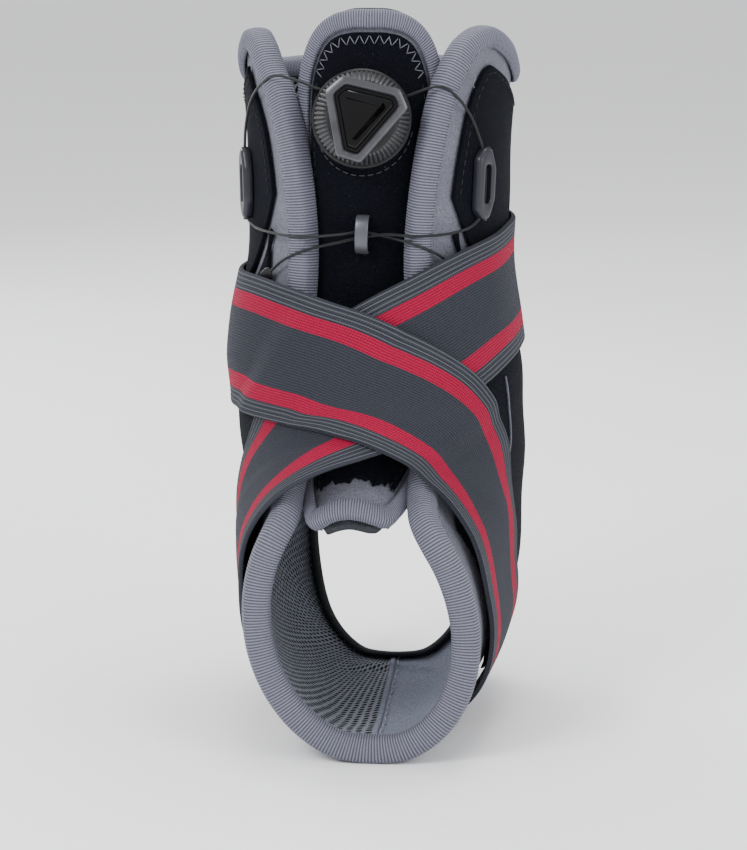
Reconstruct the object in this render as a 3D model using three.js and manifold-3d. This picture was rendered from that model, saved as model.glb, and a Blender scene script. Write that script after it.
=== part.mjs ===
// Ankle brace: a padded shell with a tongue, a rotary lace dial and two crossing elastic straps.
// Millimetres, +Z up, the toes point to -Y and +X is the viewer's right.
// The origin is on the flat underside of the sole, below the middle of the leg.

import * as THREE from 'three';
import Module from 'manifold-3d';
import { mergeVertices } from 'three/addons/utils/BufferGeometryUtils.js';

const wasm = await Module();
wasm.setup();

// Driving sizes of the worn form
const FORM_HEIGHT = 232;
const FORM_DEPTH = 125;
const FORM_WIDTH = 80;

// Fabric layers, from the leg outwards
const LAYER_GAP = 0.4;
const FACET_SAG = 0.3;
const INNER_SAG = 0.75;
const SEAM_GAP = 0.6;
const LINING_WALL = 1.2;
const SHELL_WALL = 2;
const PANEL_WALL = 1;
const BINDING_WALL = 0.9;
const BINDING_LEG = 8;
const HEEL_BINDING_LEG = 3.2;
const PANEL_MARGIN = 2;
const LOWER_MARGIN = 2.5;

// Tongue
const TONGUE_COVER_WALL = 1.4;
const TONGUE_PAD_WALL = 2.6;
const TONGUE_BINDING_LEG = 4.5;
const TONGUE_MARGIN = 0.8;
const PAD_OVERHANG = 2.5;

// Straps
const STRAP_WIDTH = 40;
const STRAP_WALL = 1.5;
const STRAP_RAMP = 9;
const STRAP_CLEAR = 3;
const LACE_ROOM = 1.9;
const LACE_ROOM_FULL = 52;
const LACE_ROOM_END = 82;

// Lace and what guides it
const LACE_DIAMETER = 1;
const LACE_CLEARANCE = 0.3;
const GUIDE_LENGTH = 22;
const GUIDE_WIDTH = 9;
const GUIDE_WALL = 2.8;
const GUIDE_SLOT_LENGTH = 12;
const GUIDE_SLOT_WIDTH = 3.4;
const GUIDE_CORNER = 3;
const KEEPER_WIDTH = 4;
const KEEPER_LENGTH = 12;
const KEEPER_WALL = 0.9;
const KEEPER_HEIGHT = 4;
const ANCHOR_LENGTH = 6;
const ANCHOR_WIDTH = 4.5;
const ANCHOR_WALL = 0.8;

// Lace dial
const DIAL_FLANGE_RADIUS = 15;
const DIAL_FLANGE_HEIGHT = 3.4;
const DIAL_RADIUS = 14.2;
const DIAL_TOP_RADIUS = 11.4;
const DIAL_RING_HEIGHT = 6.4;
const DIAL_RIM_HEIGHT = 2.4;
const FIN_DEPTH = 0.8;
const FIN_COUNT = 34;
const BEZEL_CORNERS = 3;
const BEZEL_RADIUS = 13.4;
const BEZEL_HEIGHT = 1.8;
const BEZEL_CORNER = 14;
const BEZEL_TURN = 15;
const BEZEL_RIM = 0.74;
const BEZEL_CHAMFER = 0.6;
const INSERT_CROWN = 0.7;
const DIAL_TILT_UP = 10;
const DIAL_TILT_RIGHT = 6;
const DIAL_CLEARANCE = 0.3;

// A table's rows as objects with its named columns
function table(columns, rows) {
  const names = columns.split(' ');
  return rows.map((row) => Object.fromEntries(names.map((name, i) => [name, row[i]])));
}

// Sections of the form from above the collar (first row) to the toe opening (last row). A row holds the
// front and back point of a slanted half-ellipse pair: y as shares of FORM_DEPTH, z of FORM_HEIGHT, half
// width and x of FORM_WIDTH, and how far back, from front to back, the section is widest.
const SECTIONS = table('frontY frontZ backY backZ half widest frontX backX', [
  [-0.304, 1.0, 0.352, 0.888, 0.48, 0.5, 0.0, -0.012],
  [-0.336, 0.884, 0.344, 0.784, 0.46, 0.5, 0.0, -0.006],
  [-0.352, 0.767, 0.336, 0.681, 0.442, 0.5, 0.0, 0.0],
  [-0.352, 0.655, 0.332, 0.578, 0.44, 0.5, -0.006, -0.004],
  [-0.368, 0.56, 0.344, 0.466, 0.488, 0.5, -0.014, -0.006],
  [-0.408, 0.487, 0.384, 0.345, 0.497, 0.5, 0.0, 0.014],
  [-0.456, 0.435, 0.408, 0.207, 0.485, 0.52, 0.004, 0.034],
  [-0.504, 0.401, 0.336, 0.0585, 0.47, 0.55, -0.01, 0.038],
  [-0.544, 0.375, 0.096, 0.0065, 0.438, 0.56, -0.025, 0.038],
  [-0.572, 0.358, -0.256, 0.003, 0.395, 0.54, -0.031, 0.044],
  [-0.592, 0.345, -0.592, 0.0205, 0.365, 0.52, -0.038, 0.05],
]);
const LAST_SECTION = SECTIONS.length - 1;

// The shell's outer edge, from the middle of the toe opening's floor up to the back of the collar.
// station is a row number of SECTIONS, right and left are degrees from the front.
const EDGE = table('station right left', [
  [10.0, 180, 180],
  [10.0, 150, 150],
  [10.0, 120, 120],
  [10.0, 90, 90],
  [10.0, 65, 65],
  [9.9, 48, 48],
  [9.3, 37, 37],
  [8.0, 29, 30],
  [6.6, 25, 27],
  [5.2, 22.5, 25],
  [4.0, 21.5, 25],
  [3.0, 21.5, 28],
  [2.2, 24, 32],
  [1.6, 28, 37],
  [1.2, 32, 43],
  [0.9, 37, 50],
  [0.6, 45, 57],
  [0.42, 58, 66],
  [0.48, 75, 79],
  [0.62, 92, 94],
  [0.5, 116, 116],
  [0.32, 146, 146],
  [0.25, 180, 180],
]);

// The heel opening's edge, from its floor up to its top
const HEEL_EDGE = table('station right left', [
  [7.75, 180, 180],
  [7.55, 158, 158],
  [7.1, 142, 142],
  [6.4, 134, 134],
  [5.7, 140, 140],
  [5.25, 155, 155],
  [5.05, 180, 180],
]);

// The tongue's edge, from its top down to its lower end
const TONGUE_EDGE = table('station right left', [
  [0.39, 9, 9],
  [0.43, 19, 19],
  [0.55, 28, 28],
  [0.78, 35, 35],
  [1.15, 40, 40],
  [1.7, 42, 42],
  [2.6, 42, 42],
  [3.8, 40, 40],
  [5.0, 36, 36],
  [6.4, 33, 33],
  [7.8, 31, 31],
  [8.9, 29, 31],
  [9.7, 25, 28],
  [10.1, 16, 19],
  [10.2, 6, 6],
]);

// Station where the tongue's panel ends
const TONGUE_PANEL_END = 8.1;

// Lower edge of the upper panel, from its front corner round to the back
const PANEL_SPLIT = table('station right left', [
  [2.35, 38.5, 46.5],
  [2.7, 45, 52],
  [3.1, 53, 59.5],
  [3.45, 64, 69],
  [3.8, 84, 88],
  [4.1, 120, 122],
  [4.2, 180, 180],
]);

// Rear edge of the lower panels, from their front corner along the split and down beside the heel
const LOWER_REAR = table('station right left', [
  [2.8, 39.5, 46.5],
  [3.15, 44.5, 51.5],
  [3.55, 53, 59],
  [3.92, 66, 70],
  [4.2, 84, 86],
  [4.45, 103, 105],
  [4.9, 117, 118],
  [5.5, 121, 121],
  [6.4, 121, 121],
  [7.3, 124, 124],
  [8.0, 126, 126],
  [8.8, 118, 118],
]);

// Where the lower panels start and stop along the outer edge, as stations of SECTIONS, and how many
// degrees either side of the sole's middle stay free of them
const LOWER_PANEL_TOP = 2.75;
const LOWER_PANEL_END = 9.75;
const SOLE_ANGLE = 60;

// Middle line of each strap, from its end behind the leg to its end beside the sole
const STRAP_OVER = table('station angle', [
  [3.0, -178.9],
  [3.4, -145],
  [3.8, -112],
  [4.05, -85],
  [4.2, -65],
  [4.4, -42],
  [4.85, -15],
  [5.3, 0],
  [5.75, 15],
  [6.2, 29],
  [6.75, 42],
  [7.35, 54],
  [7.9, 68],
  [8.25, 86],
  [8.3, 105],
  [8.3, 124],
]);
const STRAP_UNDER = table('station angle', [
  [2.95, 178.9],
  [3.05, 145],
  [3.15, 112],
  [3.35, 84],
  [3.6, 60],
  [3.85, 44],
  [4.2, 29],
  [4.6, 15],
  [5.15, 0],
  [6.05, -14],
  [6.9, -30],
  [7.4, -43],
  [7.9, -58],
  [8.2, -75],
  [8.3, -95],
  [8.3, -110],
  [8.3, -124],
]);

// Points of the laces after they leave the dial. depth is how far down a point is from the binding's outer
// face (0) to the tongue's (1), and rise the height of the lace's middle above that, in lace diameters.
const LACE_LEFT = table('station angle depth rise', [
  [1.0, -41, 0, 0.6],
  [1.05, -49, 0, 1.1],
  [1.2, -60, 0, 1.1],
  [1.45, -68, 0, 1.4],
  [1.75, -70, 0, 1.9],
  [2.2, -70, 0, 2.0],
  [2.55, -69, 0, 1.9],
  [2.68, -62, 0, 1.3],
  [2.78, -47, 0, 1.0],
  [2.85, -27, 0, 1.0],
  [2.84, -13, 0.63, 1.0],
  [2.82, -2, 1, 1.6],
  [2.86, 9, 0.78, 1.0],
  [2.92, 20, 0, 1.0],
  [3.05, 31, 0, 1.0],
  [3.2, 38, 0, 1.0],
]);
const LACE_RIGHT = table('station angle depth rise', [
  [1.14, 30, 0, 0.9],
  [1.24, 38, 0, 1.1],
  [1.42, 45, 0, 1.1],
  [1.65, 50, 0, 1.5],
  [1.85, 53, 0, 1.9],
  [2.2, 54, 0, 2.0],
  [2.5, 53, 0, 1.9],
  [2.66, 48, 0, 1.3],
  [2.76, 38, 0, 1.0],
  [2.82, 20, 0, 1.0],
  [2.82, 10, 0.42, 1.0],
  [2.88, -2, 1, 3.0],
  [2.93, -12, 0.54, 1.0],
  [3.02, -25, 0, 1.0],
  [3.15, -36, 0, 1.0],
  [3.3, -43, 0, 1.0],
]);
const LACE_EXIT_RISE = 1.4;
const LACE_EXIT_LEFT = 146;
const LACE_EXIT_RIGHT = 26;
const DIAL_STATION = 1.54;
const DIAL_ANGLE = -3.5;
const GUIDE_STATION = 2.15;
const GUIDE_ANGLE_RIGHT = 54;
const GUIDE_ANGLE_LEFT = -70;
const KEEPER_STATION = 2.85;
const KEEPER_ANGLE = -2;

// Mesh fineness
const EDGE_STEPS = 56;
const WALL_COLUMNS = 7;
const HEEL_STEPS = 28;
const UPPER_STEPS = 34;
const UPPER_COLUMNS = 3;
const LOWER_STEPS = 14;
const LOWER_COLUMNS = 7;
const STRAP_STEPS = 34;
const STRAP_COLUMNS = 4;
const TONGUE_STEPS = 18;
const TONGUE_COLUMNS = 5;
const PAD_COLUMNS = 4;
const LACE_SIDES = 8;
const LACE_STEPS = 34;
const DIAL_SIDES = 32;
const TURN_WEIGHT = 14;
const SLOPE_STEP = 0.002;
const WALK_STEPS = 3;
const SPREAD_SAMPLES = 400;
const SLOT_SEGMENTS = 4;

const HALF_TURN = 180;
const FULL_TURN = 2 * HALF_TURN;
const RADIANS = Math.PI / HALF_TURN;

// Heights of the layers above the form's surface
const LINING_OUT = LINING_WALL;
const SHELL_IN = LINING_OUT + LAYER_GAP;
const SHELL_OUT = SHELL_IN + SHELL_WALL;
const PANEL_IN = SHELL_OUT + LAYER_GAP + FACET_SAG;
const PANEL_OUT = PANEL_IN + PANEL_WALL;
const BINDING_IN = SHELL_OUT + LAYER_GAP + FACET_SAG;
const BINDING_OUT = BINDING_IN + BINDING_WALL;
const BINDING_INSIDE = -LAYER_GAP - INNER_SAG;
const BINDING_BOTTOM = BINDING_INSIDE - BINDING_WALL;
const SKIN_OUT = Math.max(PANEL_OUT, BINDING_OUT);
const STRAP_SIDE = SKIN_OUT + 2 * LAYER_GAP;
const STRAP_FRONT = STRAP_SIDE + LACE_ROOM;
const STRAP_CROSSING = STRAP_FRONT + STRAP_WALL + 2 * LAYER_GAP;
const TONGUE_OUT = BINDING_BOTTOM - LAYER_GAP - FACET_SAG;
const TONGUE_SKIN_IN = TONGUE_OUT - BINDING_WALL;
const COVER_OUT = TONGUE_SKIN_IN - LAYER_GAP - FACET_SAG;
const COVER_IN = COVER_OUT - TONGUE_COVER_WALL;
const TONGUE_BINDING_INSIDE = COVER_IN - LAYER_GAP - FACET_SAG;
const TONGUE_BINDING_BOTTOM = TONGUE_BINDING_INSIDE - BINDING_WALL;
const PAD_OUT = TONGUE_BINDING_BOTTOM - LAYER_GAP;
const PAD_IN = PAD_OUT - TONGUE_PAD_WALL;
const BINDING_RISE = BINDING_OUT - SHELL_OUT;

// Stations of the sole between which the shell's underside comes down to the floor; towards its edges it
// is lifted by the binding's thickness, so that shell and binding rest on one plane.
const SOLE_REAR = [7.96, 8.06];
const SOLE_FRONT = [9.38, 9.62];

// Curve helpers

function catmullRom(p0, p1, p2, p3, t) {
  const a = 2 * p1;
  const b = p2 - p0;
  const c = 2 * p0 - 5 * p1 + 4 * p2 - p3;
  const d = 3 * p1 - p0 - 3 * p2 + p3;
  return (a + b * t + c * t * t + d * t * t * t) / 2;
}

// The row at a station, and beyond either end the row that carries on in the same way
function sectionValue(name, k) {
  const near = Math.min(Math.max(k, 0), LAST_SECTION);
  if (near === k) return SECTIONS[k][name];
  const inner = near === 0 ? 1 : LAST_SECTION - 1;
  return 2 * SECTIONS[near][name] - SECTIONS[inner][name];
}

function section(station) {
  const k = Math.min(Math.max(Math.floor(station), 0), LAST_SECTION - 1);
  const row = {};
  for (const name of Object.keys(SECTIONS[0])) {
    const [a, b, c, d] = [k - 1, k, k + 1, k + 2].map((n) => sectionValue(name, n));
    row[name] = catmullRom(a, b, c, d, station - k);
  }
  return row;
}

// The form's surface at a station and an angle from the front
function formPoint(station, angle) {
  const s = section(station);
  const front = new THREE.Vector3(s.frontX * FORM_WIDTH, s.frontY * FORM_DEPTH, s.frontZ * FORM_HEIGHT);
  const back = new THREE.Vector3(s.backX * FORM_WIDTH, s.backY * FORM_DEPTH, s.backZ * FORM_HEIGHT);
  const centre = front.clone().lerp(back, s.widest);
  const cosine = Math.cos(angle * RADIANS);
  const reach = cosine >= 0 ? front.sub(centre) : centre.clone().sub(back);
  const point = centre.addScaledVector(reach, cosine);
  point.x += s.half * FORM_WIDTH * Math.sin(angle * RADIANS);
  return point;
}

function slopes(station, angle) {
  const along = formPoint(station + SLOPE_STEP, angle).sub(formPoint(station - SLOPE_STEP, angle));
  const round = formPoint(station, angle + SLOPE_STEP).sub(formPoint(station, angle - SLOPE_STEP));
  along.divideScalar(2 * SLOPE_STEP);
  round.divideScalar(2 * SLOPE_STEP);
  const normal = along.clone().cross(round).normalize();
  return { along, round, normal };
}

function smooth(from, to, value) {
  const t = Math.min(Math.max((value - from) / (to - from), 0), 1);
  return t * t * (3 - 2 * t);
}

function soleLift(station) {
  const rear = 1 - smooth(SOLE_REAR[0], SOLE_REAR[1], station);
  const front = smooth(SOLE_FRONT[0], SOLE_FRONT[1], station);
  return BINDING_RISE * Math.max(rear, front);
}

// A point at a height above the form, never lower than the flat sole lets that layer be
function place([station, angle], height) {
  const point = formPoint(station, angle).addScaledVector(slopes(station, angle).normal, height);
  point.z = Math.max(point.z, SHELL_OUT - height + soleLift(station), 0);
  return point;
}

// Walks over the form from a spot, a number of millimetres in a direction
function walk([station, angle], direction, distance) {
  const spot = [station, angle];
  const heading = direction.clone();
  for (let i = 0; i < WALK_STEPS; i += 1) {
    const { along, round, normal } = slopes(spot[0], spot[1]);
    heading.addScaledVector(normal, -heading.dot(normal)).normalize();
    const step = heading.clone().multiplyScalar(distance / WALK_STEPS);
    const aa = along.dot(along);
    const ar = along.dot(round);
    const rr = round.dot(round);
    const sa = along.dot(step);
    const sr = round.dot(step);
    const det = aa * rr - ar * ar;
    spot[0] += (sa * rr - sr * ar) / det;
    spot[1] += (aa * sr - ar * sa) / det;
  }
  return spot;
}

function curveThrough(spots, closed) {
  const points = spots.map(([station, angle]) => new THREE.Vector3(station, angle, 0));
  return new THREE.CatmullRomCurve3(points, closed, 'catmullrom', 0.5);
}

function spotAt(curve, t) {
  const p = curve.getPoint(t);
  return [p.x, p.y];
}

// Positions along a curve on the form, spaced by length and closer together where it turns
function spread(curve, from, to, steps) {
  const fine = SPREAD_SAMPLES;
  const at = (k) => formPoint(...spotAt(curve, from + ((to - from) * k) / fine));
  const cost = [0];
  let before = at(0);
  let here = at(1);
  let total = before.distanceTo(here);
  cost.push(total);
  for (let k = 2; k <= fine; k += 1) {
    const next = at(k);
    const turn = next.clone().sub(here).angleTo(here.clone().sub(before));
    total += next.distanceTo(here) + TURN_WEIGHT * turn;
    cost.push(total);
    before = here;
    here = next;
  }
  const list = [];
  let k = 0;
  for (let i = 0; i <= steps; i += 1) {
    const wanted = (total * i) / steps;
    while (k < fine - 1 && cost[k + 1] < wanted) k += 1;
    const part = (wanted - cost[k]) / (cost[k + 1] - cost[k]);
    list.push(from + ((to - from) * (k + Math.min(Math.max(part, 0), 1))) / fine);
  }
  return list;
}

// A closed loop from a table of right and left angles, running up the right side and down the left
function mirroredLoop(rows) {
  const right = rows.map((row) => [row.station, row.right]);
  const left = rows.slice(1, -1).reverse().map((row) => [row.station, FULL_TURN - row.left]);
  return curveThrough([...right, ...left], true);
}

// One side of a table of right and left angles; a left angle is negative or runs on past the back
function sideCurve(rows, side, pastBack = false) {
  const turn = pastBack ? FULL_TURN : 0;
  return curveThrough(rows.map((row) => [row.station, side > 0 ? row.right : turn - row.left]), false);
}

// Sideways direction on the form at each spot of a list, to the left of the way along it
function sideways(spots, closed) {
  const count = spots.length;
  return spots.map((spot, i) => {
    const before = spots[closed ? (i - 1 + count) % count : Math.max(i - 1, 0)];
    const after = spots[closed ? (i + 1) % count : Math.min(i + 1, count - 1)];
    const tangent = formPoint(...after).sub(formPoint(...before));
    return slopes(...spot).normal.cross(tangent).normalize();
  });
}

// Mesh helpers

function signedVolume(positions, index) {
  const a = new THREE.Vector3();
  const b = new THREE.Vector3();
  const c = new THREE.Vector3();
  let volume = 0;
  for (let i = 0; i < index.length; i += 3) {
    a.copy(positions[index[i]]);
    b.copy(positions[index[i + 1]]);
    c.copy(positions[index[i + 2]]);
    volume += a.dot(b.cross(c));
  }
  return volume;
}

function solid(positions, index) {
  const outward = signedVolume(positions, index) > 0 ? index : index.slice().reverse();
  const geometry = new THREE.BufferGeometry();
  const flat = positions.flatMap((p) => [p.x, p.y, p.z]);
  geometry.setAttribute('position', new THREE.Float32BufferAttribute(flat, 3));
  geometry.setIndex(outward);
  return geometry;
}

function quad(index, a, b, c, d) {
  index.push(a, b, c, a, c, d);
}

// A wall between two lists of spots, with columns from one to the other and two heights
function layer(sideA, sideB, columns, heightIn, heightOut, closed = false) {
  const rows = sideA.length;
  const positions = [];
  for (const height of [heightOut, heightIn]) {
    for (let i = 0; i < rows; i += 1) {
      for (let j = 0; j <= columns; j += 1) {
        const t = j / columns;
        const spot = [0, 1].map((k) => sideA[i][k] + (sideB[i][k] - sideA[i][k]) * t);
        const lift = typeof height === 'function' ? height(spot) : height;
        positions.push(place(spot, lift));
      }
    }
  }
  const side = rows * (columns + 1);
  const at = (i, j, inner) => inner * side + (i % rows) * (columns + 1) + j;
  const index = [];
  const spans = closed ? rows : rows - 1;
  for (let i = 0; i < spans; i += 1) {
    for (let j = 0; j < columns; j += 1) {
      quad(index, at(i, j, 0), at(i + 1, j, 0), at(i + 1, j + 1, 0), at(i, j + 1, 0));
      quad(index, at(i, j, 1), at(i, j + 1, 1), at(i + 1, j + 1, 1), at(i + 1, j, 1));
    }
    quad(index, at(i, 0, 0), at(i, 0, 1), at(i + 1, 0, 1), at(i + 1, 0, 0));
    quad(index, at(i, columns, 0), at(i + 1, columns, 0), at(i + 1, columns, 1), at(i, columns, 1));
  }
  if (!closed) {
    const last = rows - 1;
    for (let j = 0; j < columns; j += 1) {
      quad(index, at(0, j, 0), at(0, j + 1, 0), at(0, j + 1, 1), at(0, j, 1));
      quad(index, at(last, j, 0), at(last, j, 1), at(last, j + 1, 1), at(last, j + 1, 0));
    }
  }
  return solid(positions, index);
}

// A closed band along a closed list of spots. A section point is [distance inwards, height].
function band(spots, inward, sectionPoints) {
  const positions = [];
  spots.forEach((spot, i) => {
    for (const [distance, height] of sectionPoints) {
      positions.push(place(walk(spot, inward[i], distance), height));
    }
  });
  const count = sectionPoints.length;
  const at = (i, k) => (i % spots.length) * count + (k % count);
  const index = [];
  for (let i = 0; i < spots.length; i += 1) {
    for (let k = 0; k < count; k += 1) {
      quad(index, at(i, k), at(i + 1, k), at(i + 1, k + 1), at(i, k + 1));
    }
  }
  return solid(positions, index);
}

// Section of a binding folded round an edge: outer leg, rounded fold, inner leg
function foldedSection(leg, outerTop, outerBottom, innerTop, innerBottom) {
  const wall = outerTop - outerBottom;
  const middle = (outerTop + innerBottom) / 2;
  return [
    [leg, outerTop],
    [-wall / 2, outerTop],
    [-LAYER_GAP - wall, middle],
    [-wall / 2, innerBottom],
    [leg, innerBottom],
    [leg, innerTop],
    [leg / 2, innerTop],
    [-LAYER_GAP, innerTop],
    [-LAYER_GAP, outerBottom],
    [leg, outerBottom],
  ];
}

function mesh(name, geometry, finish) {
  const piece = new THREE.Mesh(geometry, new THREE.MeshStandardMaterial(finish));
  piece.name = name;
  return piece;
}

function merged(geometry) {
  const copy = geometry.clone();
  copy.deleteAttribute('normal');
  copy.deleteAttribute('uv');
  return mergeVertices(copy);
}

function toManifold(geometry) {
  const whole = merged(geometry);
  return new wasm.Manifold(new wasm.Mesh({
    numProp: 3,
    vertProperties: new Float32Array(whole.attributes.position.array),
    triVerts: new Uint32Array(whole.index.array),
  }));
}

function fromManifold(manifold) {
  const result = manifold.getMesh();
  const geometry = new THREE.BufferGeometry();
  geometry.setAttribute('position', new THREE.Float32BufferAttribute(result.vertProperties, 3));
  geometry.setIndex(Array.from(result.triVerts));
  return geometry;
}

// Shell, lining and bindings

const outerCurve = mirroredLoop(EDGE);
const heelCurve = mirroredLoop(HEEL_EDGE);

function loopTimes(curve, steps) {
  const right = spread(curve, 0, 0.5, steps / 2).slice(0, -1);
  const left = spread(curve, 0.5, 1, steps / 2).slice(0, -1);
  return [...right, ...left];
}

const edgeTimes = loopTimes(outerCurve, EDGE_STEPS);
const outerSpots = edgeTimes.map((t) => spotAt(outerCurve, t));
const heelSpots = edgeTimes.map((t) => spotAt(heelCurve, t));

function towards(spots, directions, targets) {
  let agree = 0;
  spots.forEach((spot, i) => {
    agree += Math.sign(formPoint(...targets[i]).sub(formPoint(...spot)).dot(directions[i]));
  });
  return agree > 0 ? directions : directions.map((d) => d.clone().negate());
}

const outerInward = towards(outerSpots, sideways(outerSpots, true), heelSpots);

function makeShell() {
  return layer(heelSpots, outerSpots, WALL_COLUMNS, SHELL_IN, SHELL_OUT, true);
}

// Half of the lining, kept clear of the other half at the sole's seam and behind the leg
function makeLining(side) {
  const half = EDGE_STEPS / 2;
  const first = side > 0 ? 0 : half;
  const rows = Array.from({ length: half + 1 }, (_, i) => (first + i) % EDGE_STEPS);
  const away = new THREE.Vector3(side, 0, 0);
  const clear = (spots) => rows.map((k) => (k % half === 0 ? walk(spots[k], away, SEAM_GAP / 2) : spots[k]));
  return layer(clear(heelSpots), clear(outerSpots), WALL_COLUMNS, 0, LINING_OUT);
}

function makeEdgeBinding() {
  const points = foldedSection(BINDING_LEG, BINDING_OUT, BINDING_IN, BINDING_INSIDE, BINDING_BOTTOM);
  return band(outerSpots, outerInward, points);
}

function makeHeelBinding() {
  const times = loopTimes(heelCurve, HEEL_STEPS);
  const spots = times.map((t) => spotAt(heelCurve, t));
  const outside = times.map((t) => spotAt(outerCurve, t));
  const outward = towards(spots, sideways(spots, true), outside);
  const points = foldedSection(HEEL_BINDING_LEG, BINDING_OUT, BINDING_IN, BINDING_INSIDE, BINDING_BOTTOM);
  return band(spots, outward, points);
}

// Loop-fabric panels

// The outer edge moved inwards, as a curve through the part of it that a test picks
function insetCurve(distance, picks) {
  const spots = outerSpots.map((spot, i) => walk(spot, outerInward[i], distance));
  return curveThrough(spots.filter((spot, i) => picks(outerSpots[i], i)), false);
}

function spotsAlong(curve, steps) {
  return spread(curve, 0, 1, steps).map((t) => spotAt(curve, t));
}

function makeUpperPanel() {
  const start = PANEL_SPLIT[0].station;
  const top = spotsAlong(insetCurve(BINDING_LEG + PANEL_MARGIN, ([station]) => station < start), UPPER_STEPS);
  const half = UPPER_STEPS / 2;
  const right = spotsAlong(sideCurve(PANEL_SPLIT, 1, true), half);
  const left = spotsAlong(sideCurve(PANEL_SPLIT, -1, true), half).reverse();
  return layer(top, [...right, ...left.slice(1)], UPPER_COLUMNS, PANEL_IN, PANEL_OUT);
}

function makeLowerPanel(side) {
  const front = insetCurve(BINDING_LEG + LOWER_MARGIN, ([station, angle], i) => {
    const onSide = side > 0 ? i < EDGE_STEPS / 2 : i > EDGE_STEPS / 2;
    const open = Math.abs(angle - HALF_TURN) > SOLE_ANGLE;
    return onSide && open && station > LOWER_PANEL_TOP && station < LOWER_PANEL_END;
  });
  const rows = spotsAlong(front, LOWER_STEPS);
  const rear = spotsAlong(sideCurve(LOWER_REAR, side, true), LOWER_STEPS);
  return layer(side > 0 ? rows.reverse() : rows, rear, LOWER_COLUMNS, PANEL_IN, PANEL_OUT);
}

// Tongue

// The tongue's sides from its top down, moved inwards by a distance
function tongueSides(inset, endStation = Infinity) {
  const down = spotsAlong(sideCurve(TONGUE_EDGE, 1), TONGUE_STEPS);
  const up = spotsAlong(sideCurve(TONGUE_EDGE, -1), TONGUE_STEPS).reverse();
  const spots = [...down, ...up];
  const inward = tongueInward(spots);
  const moved = spots.map((spot, i) => walk(spot, inward[i], inset));
  const ended = moved.map(([station, angle]) => [Math.min(station, endStation), angle]);
  return { right: ended.slice(0, down.length), left: ended.slice(down.length).reverse() };
}

function tongueInward(spots) {
  const middle = spots.map(([station]) => [Math.min(Math.max(station, 1), LAST_SECTION - 1), 0]);
  return towards(spots, sideways(spots, true), middle);
}

function tongueLayer(columns, inset, heightIn, heightOut, endStation) {
  const { right, left } = tongueSides(inset, endStation);
  return layer(right, left, columns, heightIn, heightOut);
}

function makeTonguePanel() {
  const inset = TONGUE_BINDING_LEG + TONGUE_MARGIN;
  return tongueLayer(TONGUE_COLUMNS, inset, TONGUE_SKIN_IN, TONGUE_OUT, TONGUE_PANEL_END);
}

function makeTongueBinding() {
  const { right, left } = tongueSides(0);
  const between = (a, b) => [(a[0] + b[0]) / 2, (a[1] + b[1]) / 2];
  const top = between(left[0], right[0]);
  const end = between(left[left.length - 1], right[right.length - 1]);
  const spots = [top, ...right, end, ...left.slice().reverse()];
  const inward = tongueInward(spots);
  const points = foldedSection(
    TONGUE_BINDING_LEG,
    TONGUE_OUT,
    TONGUE_SKIN_IN,
    TONGUE_BINDING_INSIDE,
    TONGUE_BINDING_BOTTOM,
  );
  return band(spots, inward, points);
}

// Straps

function strapSpots(rows) {
  return spotsAlong(curveThrough(rows.map((row) => [row.station, row.angle]), false), STRAP_STEPS);
}

const underSpots = strapSpots(STRAP_UNDER);
const overSpots = strapSpots(STRAP_OVER);
const underLine = underSpots.map((spot) => formPoint(...spot));

function strapBase(angle) {
  const turned = Math.abs(((angle + FULL_TURN + HALF_TURN) % FULL_TURN) - HALF_TURN);
  return STRAP_SIDE + (STRAP_FRONT - STRAP_SIDE) * (1 - smooth(LACE_ROOM_FULL, LACE_ROOM_END, turned));
}

function distanceToUnder(point) {
  let least = Infinity;
  const line = new THREE.Line3();
  const near = new THREE.Vector3();
  for (let i = 1; i < underLine.length; i += 1) {
    line.set(underLine[i - 1], underLine[i]);
    line.closestPointToPoint(point, true, near);
    least = Math.min(least, near.distanceTo(point));
  }
  return least;
}

function overHeight([station, angle]) {
  const edge = STRAP_WIDTH / 2;
  const away = distanceToUnder(formPoint(station, angle));
  const base = strapBase(angle);
  return base + (STRAP_CROSSING - base) * (1 - smooth(edge + STRAP_CLEAR, edge + STRAP_CLEAR + STRAP_RAMP, away));
}

function makeStrap(spots, height) {
  const across = sideways(spots, false);
  const edgeA = spots.map((spot, i) => walk(spot, across[i], STRAP_WIDTH / 2));
  const edgeB = spots.map((spot, i) => walk(spot, across[i], -STRAP_WIDTH / 2));
  const top = (spot) => height(spot) + STRAP_WALL;
  return layer(edgeA, edgeB, STRAP_COLUMNS, height, top);
}

// The dial's own frame

const dialAxis = new THREE.Vector3(
  Math.sin(DIAL_TILT_RIGHT * RADIANS) * Math.cos(DIAL_TILT_UP * RADIANS),
  -Math.cos(DIAL_TILT_RIGHT * RADIANS) * Math.cos(DIAL_TILT_UP * RADIANS),
  Math.sin(DIAL_TILT_UP * RADIANS),
);
const dialSeat = [DIAL_STATION, DIAL_ANGLE];
const dialFoot = place(dialSeat, TONGUE_OUT + LAYER_GAP);
const dialUp = new THREE.Vector3(0, 0, 1).addScaledVector(dialAxis, -dialAxis.z).normalize();
const dialRight = dialUp.clone().cross(dialAxis).normalize();

function dialPoint(radius, degrees, height) {
  const a = degrees * RADIANS;
  return dialFoot.clone()
    .addScaledVector(dialRight, radius * Math.cos(a))
    .addScaledVector(dialUp, radius * Math.sin(a))
    .addScaledVector(dialAxis, height);
}

// Lace, guides, keeper and anchors

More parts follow.
